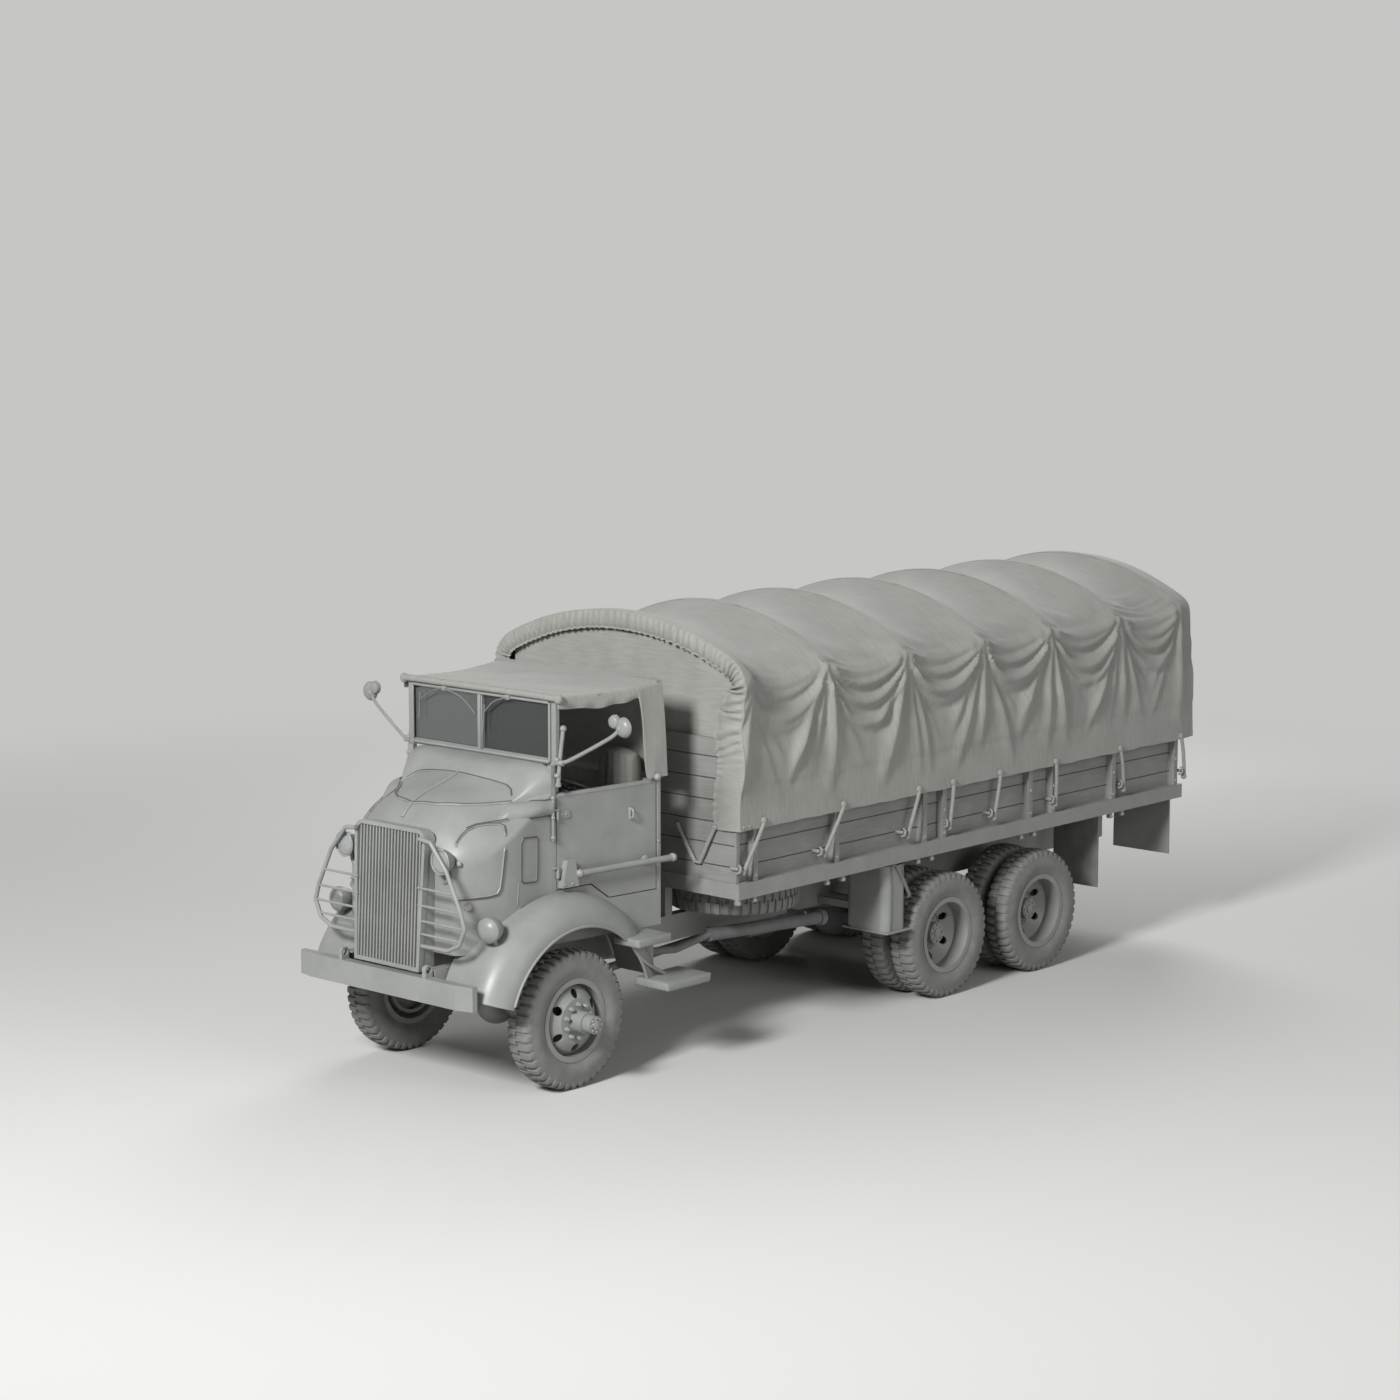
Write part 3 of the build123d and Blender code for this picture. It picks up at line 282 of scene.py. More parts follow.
# Cotton webbing of the tie straps: dull and fibrous
WEBBING = (coat("cotton_webbing", "#7d7d79", "#8b8b87", 0.85, 30, 5, 0.5), "canvas")


def weave(name, dark, pale, thread, patch, slot):
    """Woven cloth on a piece's flat map in metres; threads are coarser than real so that they show."""
    material, tree = started(name)
    flat = add(tree, "UVMap", {}, uv_map="flat"), "UV"
    yarn = {"Vector": flat, "Scale": bands(thread), "Distortion": 0.6}
    warp = add(tree, "TexWave", yarn, bands_direction="X")
    weft = add(tree, "TexWave", yarn, bands_direction="Y")
    cloth = add(tree, "Math", {0: (warp, "Fac"), 1: (weft, "Fac")}, operation="ADD")
    stains = add(tree, "TexNoise", {"Vector": flat, "Scale": 1000 / patch,
                                    "Detail": 8, "Roughness": 0.65})
    stretch = add(tree, "Mapping", {"Vector": flat, "Scale": (1, 12, 1)})
    slubs = add(tree, "TexNoise", {"Vector": (stretch, "Vector"), "Scale": 1000 / 160, "Detail": 4})
    mixed = add(tree, "Math", {0: (stains, "Fac"), 1: (slubs, "Fac")}, operation="ADD")
    spread = add(tree, "MapRange", {"Value": (mixed, "Value"), "From Min": 0.75, "From Max": 1.3})
    colour = add(tree, "Mix", {"Factor": (spread, "Result"), "A": tone(dark), "B": tone(pale)},
                 data_type="RGBA")
    relief = add(tree, "Bump", {"Height": (cloth, "Value"), "Strength": 0.35, "Distance": 0.0012})
    shaded(tree, {"Base Color": (colour, "Result"), "Roughness": 0.9, "Normal": (relief, "Normal"),
                  "Sheen Weight": 0.12, "Sheen Roughness": 0.5, "Specular IOR Level": 0.2})
    return material, slot


# Waxed cotton duck: matt, faintly streaked by its yarn, stained in broad clouds
DUCK = weave("waxed_cotton_duck", "#858581", "#94938f", 7, 420, "canvas")
# Seat drill: a tighter, darker cotton
DRILL = weave("cotton_seat_drill", "#696965", "#757570", 6, 200, "seat_cloth")


def boards(name, dark, pale, pitch, first, post_x):
    """Painted boards: long grain and a dark joint at each pitch of height, but none on the outer posts."""
    material, tree = started(name)
    place = add(tree, "TexCoord", {}), "Object"
    along_grain = add(tree, "Mapping", {"Vector": place, "Scale": (0.05, 0.05, 1)})
    grain = add(tree, "TexNoise", {"Vector": (along_grain, "Vector"), "Scale": 1000 / 9, "Detail": 6})
    clouds = add(tree, "TexNoise", {"Vector": place, "Scale": 1000 / 300, "Detail": 6})
    split = add(tree, "SeparateXYZ", {"Vector": place})
    height = add(tree, "Math", {0: (split, "Z"), 1: first / 1000}, operation="SUBTRACT")
    folded = add(tree, "Math", {0: (height, "Value"), 1: pitch / 2000}, operation="PINGPONG")
    width = add(tree, "Math", {0: (split, "X")}, operation="ABSOLUTE")
    post = add(tree, "Math", {0: (width, "Value"), 1: post_x / 1000}, operation="GREATER_THAN")
    seam = add(tree, "MapRange", {"Value": (folded, "Value"), "From Min": 0.0015, "From Max": 0.006})
    joint = add(tree, "Math", {0: (seam, "Result"), 1: (post, "Value")}, operation="MAXIMUM")
    mixed = add(tree, "Math", {0: (grain, "Fac"), 1: (clouds, "Fac")}, operation="ADD")
    spread = add(tree, "MapRange", {"Value": (mixed, "Value"), "From Min": 0.75, "From Max": 1.25})
    paint = add(tree, "Mix", {"Factor": (spread, "Result"), "A": tone(dark), "B": tone(pale)},
                data_type="RGBA")
    colour = add(tree, "Mix", {"Factor": (joint, "Value"), "A": tone("#3c3c3b"), "B": (paint, "Result")},
                 data_type="RGBA")
    deep = add(tree, "Math", {0: (joint, "Value"), 1: 6.0}, operation="MULTIPLY")
    level = add(tree, "Math", {0: (deep, "Value"), 1: (grain, "Fac")}, operation="ADD")
    relief = add(tree, "Bump", {"Height": (level, "Value"), "Strength": 0.6, "Distance": 0.0009})
    shaded(tree, {"Base Color": (colour, "Result"), "Roughness": 0.7, "Normal": (relief, "Normal"),
                  "Specular IOR Level": 0.3})
    return material, "bed_wood"


# Painted softwood boards of the bed
WOOD = boards("painted_softwood_boards", "#767774", "#848581", 147, 1585, 1060)

# Flat window glass: clear, faintly grey, sharp reflections
glass, tree = started("flat_window_glass")
place = add(tree, "TexCoord", {}), "Object"
dust = add(tree, "TexNoise", {"Vector": place, "Scale": 1000 / 130, "Detail": 5})
haze = add(tree, "MapRange", {"Value": (dust, "Fac"), "To Min": 0.01, "To Max": 0.09})
shaded(tree, {"Base Color": tone("#7b7e7e"), "Roughness": (haze, "Result"),
              "Transmission Weight": 0.85, "IOR": 1.45})
GLASS = (glass, "window_glass")

# Moulded lamp glass: slightly rough from its ribs, grey green
lamp_glass, tree = started("ribbed_lamp_glass")
place = add(tree, "TexCoord", {}), "Object"
ribs = add(tree, "TexWave", {"Vector": place, "Scale": bands(9)}, bands_direction="X")
relief = add(tree, "Bump", {"Height": (ribs, "Fac"), "Strength": 0.5, "Distance": 0.001})
shaded(tree, {"Base Color": tone("#b9bdbc"), "Roughness": 0.12, "Normal": (relief, "Normal"),
              "Transmission Weight": 0.55, "IOR": 1.5})
LAMP_GLASS = (lamp_glass, "window_glass")

# Silvered mirror glass: sharp and a little dark
silver, tree = started("silvered_mirror_glass")
place = add(tree, "TexCoord", {}), "Object"
spots = add(tree, "TexNoise", {"Vector": place, "Scale": 1000 / 40, "Detail": 4})
haze = add(tree, "MapRange", {"Value": (spots, "Fac"), "To Min": 0.03, "To Max": 0.12})
shaded(tree, {"Base Color": tone("#c2c4c4"), "Metallic": 1.0, "Roughness": (haze, "Result")})
SILVER = (silver, "window_glass")

FINISHES = {"painted_steel": STEEL, "chassis_iron": IRON, "tyre_rubber": RUBBER, "canvas": DUCK,
            "bed_wood": WOOD, "seat_cloth": DRILL, "window_glass": GLASS, "black_plastic": PLASTIC}
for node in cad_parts.values():
    for holder in node.material_slots:
        for slot, finish in FINISHES.items():
            if holder.material and holder.material.name.startswith(slot):
                holder.material = finish[0]
                break
for name in ("bed_floor", "bed_sills", "bed_runners"):
    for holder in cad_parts[name].material_slots:
        holder.material = RAILS[0]


# Sheets of cloth and steel, made from grids of places
def grid_sheet(name, places, flat_map, thick):
    """Sheet from a grid of places in mm and its flat map in metres."""
    rows, columns = places.shape[:2]
    points = places.reshape(-1, 3) / 1000 + np.array([0, FRONT_AXLE, 0])
    index = np.arange(rows * columns).reshape(rows, columns)
    faces = np.stack([index[:-1, :-1], index[1:, :-1], index[1:, 1:], index[:-1, 1:]], -1)
    mesh = bpy.data.meshes.new(name)
    mesh.from_pydata(points.tolist(), [], faces.reshape(-1, 4).tolist())
    layer = mesh.uv_layers.new(name="flat")
    corner = np.empty(len(mesh.loops), dtype=np.int32)
    mesh.loops.foreach_get("vertex_index", corner)
    layer.data.foreach_set("uv", flat_map.reshape(-1, 2)[corner].astype(np.float32).ravel())
    piece = placed(name, mesh)
    press(piece, "SOLIDIFY", thickness=thick / 1000, offset=0)
    return piece


def ease(value):
    """Smooth step from zero to one."""
    value = np.clip(value, 0, 1)
    return value * value * (3 - 2 * value)


def hump(value):
    """Bell curve with its top at zero."""
    return np.exp(-0.5 * value ** 2)


def running(points):
    """Distance along lines of points from their first one."""
    steps = np.linalg.norm(np.diff(points, axis=-2), axis=-1)
    return np.concatenate([np.zeros(steps.shape[:-1] + (1,)), np.cumsum(steps, -1)], -1)


def along(line, steps, places):
    """Points of a line at given distances along it."""
    return np.stack([np.interp(places, steps, line[:, n]) for n in range(line.shape[1])], -1)


def rounded(line, width):
    """Evens out a line's corners without moving its ends; the width is in points."""
    reach = 80
    weight = hump(np.arange(-reach, reach + 1) / width)
    weight /= weight.sum()
    before = 2 * line[0] - line[1:reach + 1][::-1]
    after = 2 * line[-1] - line[-reach - 1:-1][::-1]
    full = np.concatenate([before, line, after])
    return np.stack([np.convolve(full[:, n], weight, "valid") for n in range(line.shape[1])], -1)


# Canvas over the bed: taut over the bows, sagging between them, with swags and long folds
CANVAS = 3
HEM_Z, HEM_X, SHOULDER_X, SHOULDER_Z, CROWN_Z = 1545, 1122, 1066, 2590, 2936
COVER_FRONT, COVER_REAR = 1300, 6692
BOWS = np.array([1395, 2242, 3108, 3990, 4808, 5690, 6505])
LAST_BAY = len(BOWS) - 2
# Sag and drawing in at mid bay, lift and spread of the front edge, and its length
SAG, DRAW_IN, FLARE, FLARE_SIDE, FLARE_LENGTH = 95, 36, 66, 34, 220
# Height of the side seam above the hem and the step in the cloth there
SEAM_UP, SEAM_STEP = 280, 7
# Swags between two bows: depth at mid bay, height and width
SWAGS = ((65, 36, 36), (165, 50, 42), (285, 46, 46), (425, 30, 50))
# Drops of the wrinkles above the shoulder, in most bays and in the last one
WRINKLES, LAST_WRINKLES = (-60,), (-360, -270, -190, -110, -45)
# Folds that fan out below a bow: lean in degrees and height
FANS = ((-45, 24), (-33, 38), (-21, 42), (-8, 34), (6, 36), (18, 26), (30, 14))
# Tie straps: place of the eyelet in the hem and of the hook on the bed
TIES = ((1532, 1336), (2367, 2175), (3202, 3090), (3595, 3572),
        (4150, 4100), (4836, 4855), (5666, 5738), (6487, 6560))


def arch_line():
    """Section over a bow from the left hem to the right in even steps, its shoulder and its length."""
    side_steps = 180
    rise = CROWN_Z - SHOULDER_Z
    radius = (SHOULDER_X ** 2 + rise ** 2) / (2 * rise)
    half_turn = math.asin(SHOULDER_X / radius)
    turn = np.linspace(half_turn, -half_turn, 400)
    top = np.stack([radius * np.sin(turn), CROWN_Z - radius + radius * np.cos(turn)], -1)
    share = np.linspace(0, 1, side_steps)[:-1, None]
    left = np.array([HEM_X, HEM_Z]) + share * np.array([SHOULDER_X - HEM_X, SHOULDER_Z - HEM_Z])
    line = np.concatenate([left, top, left[::-1] * [-1, 1]])
    steps = running(line)
    even = np.linspace(0, steps[-1], 876)
    return along(line, steps, even), even, steps[side_steps - 1], steps[-1]


def lip(q, sharp):
    """Profile of a hanging fold: a slow swell out and a quick return under it."""
    dip, dip_at_edge = 0.45, 0.6065
    above = hump(q / 1.25)
    under = (1 + dip_at_edge * dip) * hump(q / sharp) - dip * hump((q - 0.9) / 0.9)
    return np.where(q < 0, above, under)


def bay_folds(drop, y, chance):
    """Swags and wrinkles between the bows, and the part of the side that the swags fill."""
    swags, wrinkles, filled = [np.zeros_like(y) for _ in range(3)]
    for bay, (first, last) in enumerate(zip(BOWS[:-1], BOWS[1:])):
        share = np.clip((y - first) / (last - first), 0, 1)
        lean = chance.uniform(0.8, 1.25)
        hang = 4 * share ** lean * (1 - share ** lean)
        force = 0.6 if bay == 0 else chance.uniform(0.9, 1.15)
        for depth, height, width in SWAGS:
            depth *= chance.uniform(0.88, 1.12)
            height *= chance.uniform(0.75, 1.15) * force
            q = (drop - depth * hang ** 0.8) / (width * (0.4 + 0.7 * hang))
            swags += height * lip(q, 0.5) * ease(hang * 2.2)
        for level in LAST_WRINKLES if bay == LAST_BAY else WRINKLES:
            q = (drop - level - 55 * hang - 40 * share) / 24
            wrinkles += 13 * lip(q, 0.5) * ease(hang * 1.8) * chance.uniform(0.6, 1.1)
        reach = ease((480 * hang ** 0.8 + 30 - drop) / 170)
        filled = np.maximum(filled, np.where((share > 0) & (share < 1), reach, 0))
    return swags, wrinkles, filled


def bow_folds(drop, y, chance):
    """Folds that fan out below the bows."""
    fans = np.zeros_like(y)
    for number, bow in enumerate(BOWS):
        force = 0.65 if number in (0, len(BOWS) - 1) else 1.0
        for lean, height in FANS:
            slope = math.tan(math.radians(lean + chance.uniform(-4, 4)))
            height *= chance.uniform(0.6, 1.2) * force
            path = bow + slope * drop + chance.uniform(-0.22, 0.1) / 1000 * drop ** 2
            length = np.maximum(drop, 0) * math.hypot(1, slope)
            q = (y - path) / math.hypot(1, slope) / (15 + 0.036 * length)
            reach = chance.uniform(700, 1150)
            fade = ease(length / 210) * (1 - ease((length - reach * 0.5) / (reach * 0.65)))
            fade = fade * (1 - ease((np.abs(y - bow) - 300) / 170))
            fans += np.where(drop > 0, height * lip(q, 0.7) * fade, 0)
        fans += 22 * hump(np.hypot(y - bow, drop - 12) / 46)
    return fans


def side_folds(drop, y, seed):
    """How far the cloth stands out at a drop below the shoulder line and a place along the bed."""
    chance = np.random.default_rng(seed)
    swags, wrinkles, filled = bay_folds(drop, y, chance)
    fans = bow_folds(drop, y, chance)
    return (swags + fans * (1 - 0.9 * filled)) * ease(drop / 70 + 0.55) + wrinkles


def bed_cover():
    """The cover, its front edge and its girth over a bow."""
    line, fine, shoulder, girth = arch_line()
    side = np.linspace(0, shoulder + 190, 62)
    middle = np.linspace(side[-1], girth - side[-1], 42)[1:-1]
    run_line = np.concatenate([side, middle, (girth - side)[::-1]])
    tight, slack = [along(rounded(line, width), fine, run_line) for width in (9, 26)]
    grid_y, run = np.meshgrid(np.linspace(COVER_FRONT, COVER_REAR, 298), run_line, indexing="ij")
    bay = np.clip(np.searchsorted(BOWS, grid_y, side="right") - 1, 0, LAST_BAY)
    part = (grid_y - BOWS[bay]) / (BOWS[bay + 1] - BOWS[bay])
    sag = np.where((part > 0) & (part < 1), 4 * part * (1 - part), 0)
    shape = tight[None] + sag[..., None] * (slack - tight)[None]
    slope = np.gradient(shape, axis=1)
    out = np.stack([slope[..., 1], -slope[..., 0]], -1)
    out /= np.linalg.norm(out, axis=-1, keepdims=True)
    hand = np.sign(shape[..., 0])
    left_drop, right_drop = shoulder - run, run - (girth - shoulder)
    drop = np.maximum(left_drop, right_drop)
    height = drop[0].max() - drop
    top = ease(-drop / 420)
    front = ease((COVER_FRONT + FLARE_LENGTH - grid_y) / FLARE_LENGTH)
    rear = ease((grid_y - BOWS[-1]) / (COVER_REAR - BOWS[-1]))
    # Sagging bays and the spread front edge
    shape[..., 1] -= sag * SAG * (0.55 + 0.45 * top) * np.where(drop > 0, ease(1 - drop / 700), 1)
    shape[..., 0] -= hand * sag * DRAW_IN * hump(drop / 190)
    shape[..., 0] += hand * FLARE_SIDE * front * ease((drop + 350) / 350) * ease(height / 500)
    # Folds, ripples, the lifted front edge, puckers at the ties and the side seam
    lift = side_folds(left_drop, grid_y, 11) + side_folds(right_drop, grid_y, 23)
    lift += 9 * np.sin(grid_y / 58 + 2.6 * np.sin(run / 190)) * sag * hump((drop + 130) / 110)
    lift += FLARE * front * hump(drop / np.where(drop < 0, 430, 175))
    for eyelet, _ in TIES:
        lift -= 10 * hump(np.hypot(grid_y - eyelet, height - 45) / 55)
    lift += SEAM_STEP * ease((height - SEAM_UP) / 9) * ease((drop - 420) / 100)
    # The bows and the bed side hold the cloth from inside
    near_bow = hump(np.min(np.abs(grid_y[..., None] - BOWS), -1) / 40)
    lift = np.maximum(lift, -3 - 60 * (1 - near_bow))
    shape += (lift * (1 - 0.8 * ease((240 - height) / 190)))[..., None] * out
    # The rear edge hangs in a little and the hem waves
    shape[..., 0] *= 1 - 0.02 * rear * ease((drop + 500) / 500)
    shape[..., 1] -= 26 * rear * top
    shape[..., 1] += 4 * np.sin(grid_y / 140) * np.sin(grid_y / 61 + 1) * ease(1 - height / 120)
    places = np.stack([shape[..., 0], grid_y, shape[..., 1]], -1)
    piece = grid_sheet("bed_cover", places, np.stack([run, grid_y], -1) / 1000, CANVAS)
    return piece, places[0], girth


def cover_hem(front_edge):
    """Gathered hem of the cover, turned in round the front arch over the front boards."""
    count, pleat = 760, 66
    steps = running(front_edge)
    even = np.linspace(0, steps[-1], count)
    edge = rounded(along(front_edge, steps, even), 4)
    slope = np.gradient(edge, axis=0)
    inward = np.stack([-slope[:, 2], np.zeros(count), slope[:, 0]], -1)
    inward /= np.linalg.norm(inward, axis=1, keepdims=True)
    chance = np.random.default_rng(3)
    pace = np.interp(even, np.linspace(0, steps[-1], 60), chance.uniform(0.6, 1.6, 60))
    phase = np.cumsum(pace) * (steps[-1] / count) / pleat * 2 * math.pi
    force = np.interp(even, np.linspace(0, steps[-1], 90), chance.uniform(0.25, 1.0, 90))
    edge_z = edge[:, 2]
    high = ease((edge_z - 1900) / 300)
    bend = hump((edge_z - 2480) / 210)
    reach = 128 + 112 * (1 - ease((edge_z - 2230) / 330))
    slant = 4.5 * np.clip(edge[:, 0] / 700, -1, 1)
    rows = []
    depth = np.linspace(0, 1, 30)
    for share in depth:
        ends = ease(share * 7) * (bend + (1 - bend) * (0.25 + 0.75 * abs(2 * share - 1)))
        ends = high * ends + (1 - high) * 0.5 * ease((share - 0.7) / 0.25)
        pucker = (9 + 20 * bend) * force * np.sin(phase + slant * share) * ends
        swell = (13 + 24 * bend) * math.sin(math.pi * min(1, share * 1.15)) ** 0.6
        spots = edge + inward * ((reach + 6 * force * np.sin(phase)) * share)[:, None]
        spots[:, 1] = np.minimum(COVER_FRONT - 2 - swell + pucker, COVER_FRONT + 1)
        rows.append(spots)
    flat_map = np.stack(np.meshgrid(depth * 0.2, even / 1000, indexing="ij"), -1)
    return grid_sheet("bed_cover_front_hem", np.stack(rows), flat_map, CANVAS)


def front_curtain():
    """Canvas closing the arch above the front boards."""
    half, low, fall = 1040, 2120, 262
    grid_up, grid_x = np.meshgrid(np.linspace(0, 1, 44), np.linspace(half, -half, 124), indexing="ij")
    top = CROWN_Z - 60 - fall * (grid_x / SHOULDER_X) ** 2
    z = low + (top - low) * grid_up
    wave = 6 * np.sin(grid_x / 95 + 1.5 * np.sin(grid_x / 310)) * (1 - 0.6 * grid_up)
    y = 1345 + wave + 3 * np.sin(grid_x / 41)
    places = np.stack([grid_x, y, z], -1)
    return grid_sheet("bed_front_curtain", places, np.stack([grid_x, z], -1) / 1000, CANVAS)


cover, front_edge, girth = bed_cover()
done(cover, DUCK, angle=80)
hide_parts("cargo_canvas")
hem = done(cover_hem(front_edge), DUCK, angle=80)
curtain = done(front_curtain(), DUCK, angle=80)

# Canvas cab roof: taut over its frame, a scalloped valance at the sides and deep quarters at the back
ROOF_FRONT, ROOF_BAR, ROOF_REAR = -16, 360, 924
ROOF_DIP, ROOF_CROWN, ROOF_BEND, QUARTER_LOW = 12, 12, 30, 1932


def cab_roof():
    y = np.concatenate([np.linspace(ROOF_FRONT, 690, 70), np.linspace(690, 800, 34)[1:],
                        np.linspace(800, ROOF_REAR, 16)[1:]])
    half = np.interp(y, [ROOF_FRONT, ROOF_REAR], [714, 762])
    behind = np.clip((y - ROOF_BAR) / (ROOF_REAR - ROOF_BAR), 0, 1)
    slack = np.sin(math.pi * behind)
    ridge = np.interp(y, [ROOF_FRONT, 40, ROOF_BAR, ROOF_REAR], [2566, 2567, 2552, 2590])
    ridge = ridge - ROOF_DIP * slack
    drape = 88 + 14 * np.sin(math.pi * np.clip((y - 20) / 660, 0, 1)) + 4 * np.sin(y / 43)
    deep = ease((y - 706) / 64)
    low = (ridge - drape) * (1 - deep) + QUARTER_LOW * deep
    fall = np.linspace(0, 1, 40)
    flat_part = np.linspace(-1, 1, 56)
    turn = np.linspace(0, math.pi / 2, 7)[1:-1]
    rows = []
    for n in range(len(y)):
        z_top = ridge[n] - ROOF_CROWN - ROOF_BEND
        side_z = low[n] + (z_top - low[n]) * fall
        down = (z_top - side_z) / 640
        crease = 6 * np.sin(y[n] / 29 + 5 * down) * (1 - fall) * (1 - deep[n] * 0.6)
        side_x = half[n] + 20 * down + crease + 5 * np.sin(math.pi * fall)
        side_y = y[n] + 34 * down * ease((y[n] - 800) / 120)
        corner_x = half[n] - ROOF_BEND + ROOF_BEND * np.cos(turn)
        corner_z = z_top + ROOF_BEND * np.sin(turn)
        roof_x = flat_part[::-1] * (half[n] - ROOF_BEND)
        sag = 9 * slack[n] * (1 - flat_part ** 2)
        roof_z = ridge[n] - ROOF_CROWN * flat_part ** 2 - sag + 2.2 * np.sin(y[n] / 67 + 4 * flat_part)
        roof_y = np.full(len(roof_x) + 2 * len(turn), y[n])
        xs = np.concatenate([side_x, corner_x, roof_x, -corner_x[::-1], -side_x[::-1]])
        ys = np.concatenate([side_y, roof_y, side_y[::-1]])
        zs = np.concatenate([side_z, corner_z, roof_z, corner_z[::-1], side_z[::-1]])
        rows.append(np.stack([xs, ys, zs], -1))
    places = np.stack(rows)
    run = running(places)
    flat_map = np.stack([run, np.broadcast_to(y[:, None], run.shape)], -1) / 1000
    return grid_sheet("cab_roof_canvas", places, flat_map, CANVAS)


def cab_back():
    """Curtain that closes the back of the cab."""
    half, low, top = 764, 1935, 2584
    grid_up, grid_x = np.meshgrid(np.linspace(0, 1, 44), np.linspace(-half, half, 100), indexing="ij")
    z = low + (top - ROOF_CROWN * (grid_x / half) ** 2 - low) * grid_up
    wave = 4 * np.sin(grid_x / 88 + np.sin(grid_x / 300)) * (1 - grid_up * 0.6)
    y = ROOF_REAR + 22 * (1 - grid_up) + wave
    places = np.stack([grid_x, y, z], -1)
    return grid_sheet("cab_back_curtain", places, np.stack([grid_x, z], -1) / 1000, CANVAS)


roof = done(cab_roof(), DUCK, angle=80)
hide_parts("cab_canvas")
back = done(cab_back(), DUCK, angle=80)
HEADER = ((-722, -14, 2549), (-600, -17, 2553), (-420, -15, 2550), (-240, -18, 2552), (-60, -16, 2550),
          (120, -17, 2552), (300, -15, 2550), (480, -18, 2551), (620, -16, 2549), (722, -14, 2546))
header = done(bent_bar("cab_canvas_header_roll", HEADER, 23, 6), WEBBING)
knots = both_sides("cab_canvas_knots", [ball("knot", (722, -8, 2544), 34, (0.9, 0.8, 1.0))])
done(knots, WEBBING)

# Tyres: a moulded carcass with staggered shoulder blocks
BLOCKS, TYRE_STEPS = 44, 220
# Blocks stand outside this radius, between the middle groove and the sidewall
BLOCK_FROM, GROOVE_X, SIDEWALL_X, BLOCK_GROWTH = 401, 8, 100, 1.032
CARCASS = ((77, 255), (79, 280), (92, 306), (100, 330), (102.5, 352), (101, 374), (98, 394), (96, 404),
           (92, 420), (84, 434), (60, 441), (34, 443), (9, 443))
LINING = ((-62, 262), (-70, 330), (-58, 400), (58, 400), (70, 330), (62, 262))


def lugged_tyre():
    line = list(CARCASS) + [(-x, r) for x, r in reversed(CARCASS)] + list(LINING)
    piece = spun("tyre", line, TYRE_STEPS, True, 0.0002)
    group = TYRE_STEPS // BLOCKS
    for face in piece.data.polygons:
        x, y, z = face.center * 1000
        step = int((math.atan2(y, z) / (2 * math.pi) % 1) * TYRE_STEPS)
        offset = 0 if x > 0 else group // 2
        outer = math.hypot(y, z) > BLOCK_FROM and face.normal.dot(face.center) > 0
        on_block = GROOVE_X < abs(x) < SIDEWALL_X and (step + offset) % group < group - 2
        face.select = outer and on_block
    bpy.ops.object.mode_set(mode="EDIT")
    bpy.ops.mesh.extrude_region_move()
    bpy.ops.transform.resize(value=(1.0, BLOCK_GROWTH, BLOCK_GROWTH), center_override=(0, 0, 0))
    bpy.ops.object.mode_set(mode="OBJECT")
    soften(piece, 2.5, 1)
    return piece


tyre = lugged_tyre()
tyre_places = [(f"front_tyre_{side}", f"front_wheel_{side}", sign * FRONT_WHEEL_X, 0) for side, sign in SIDES]
for number, y in REAR_AXLES:
    for side, sign in SIDES:
        for twin in (-TWIN_X, TWIN_X):
            tyre_places.append((f"rear_tyres_{side}_{number}", f"rear_wheels_{side}_{number}",
                                sign * REAR_WHEEL_X + twin, y))
for count, (node, body, x, y) in enumerate(tyre_places):
    one = renamed(copied(tyre, moved(x, y, TYRE_R, 47 * count % 360, "X")), f"tyre_{count + 1}")
    done(one, RUBBER, body)
    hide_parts(node)
spare = renamed(copied(tyre, moved(500, 1930, 973, 90, "Y")), "spare_tyre_lugged")
done(spare, RUBBER)
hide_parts("spare_tyre")
bpy.data.objects.remove(tyre)


# Trim on the nose: beads, painted shade lines along the seams, panel edges and the belt moulding, laid on the
# pressed skin
def skin(name):
    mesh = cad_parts[name].data
    faces = [tuple(face.vertices) for face in mesh.polygons]
    return BVHTree.FromPolygons([corner.co for corner in mesh.vertices], faces)


def laid(surface, places, lift=0, closed=False, between=4):
    """Places moved onto a surface, with more between them, in mm."""
    ends = [Vector(place) for place in places]
    if closed:
        ends.append(ends[0])
    line = [start.lerp(end, n / between) for start, end in zip(ends[:-1], ends[1:]) for n in range(between)]
    spots = []
    for place in line if closed else line + ends[-1:]:
        spot, normal, _, _ = surface.find_nearest(at(*place))
        spot = spot + normal * lift / 1000
        spots.append((spot.x * 1000, (spot.y - FRONT_AXLE) * 1000, spot.z * 1000))
    return spots


def mirrored(line):
    return [(-x, y, z) for x, y, z in line]


def whole(half):
    """Line across the truck from its left half."""
    return mirrored(half[:0:-1]) + list(half)


NOSE = skin("nose")
RING = ((0, -619, 1865), (184, -571, 1870), (319, -469, 1869), (403, -372, 1870), (464, -295, 1875),
        (517, -236, 1881))
SPINE = ((0, -715, 1790), (0, -619, 1866), (0, -450, 1945), (0, -320, 1990), (0, -219, 2010))
COWL_SEAM = ((0, -217, 2010), (166, -210, 2001), (299, -188, 1986), (405, -167, 1969), (454, -174, 1948),
             (489, -202, 1915))
PANEL = ((447, -656, 1664), (449, -623, 1699), (458, -577, 1734), (480, -516, 1760), (521, -448, 1768),
         (564, -394, 1766), (595, -377, 1753), (615, -390, 1727), (641, -424, 1596), (638, -440, 1469),
         (634, -454, 1370), (628, -475, 1335), (605, -535, 1324), (556, -624, 1319), (495, -700, 1315))
FLANGE = ((450, -569, 1746), (475, -511, 1766), (527, -426, 1776), (584, -331, 1787))
HATCH = ((658, -288, 1638), (658, -268, 1671), (657, -152, 1664), (657, -142, 1650), (657, -143, 1517),
         (657, -148, 1387), (657, -166, 1371), (658, -271, 1378), (657, -291, 1395), (658, -290, 1529))
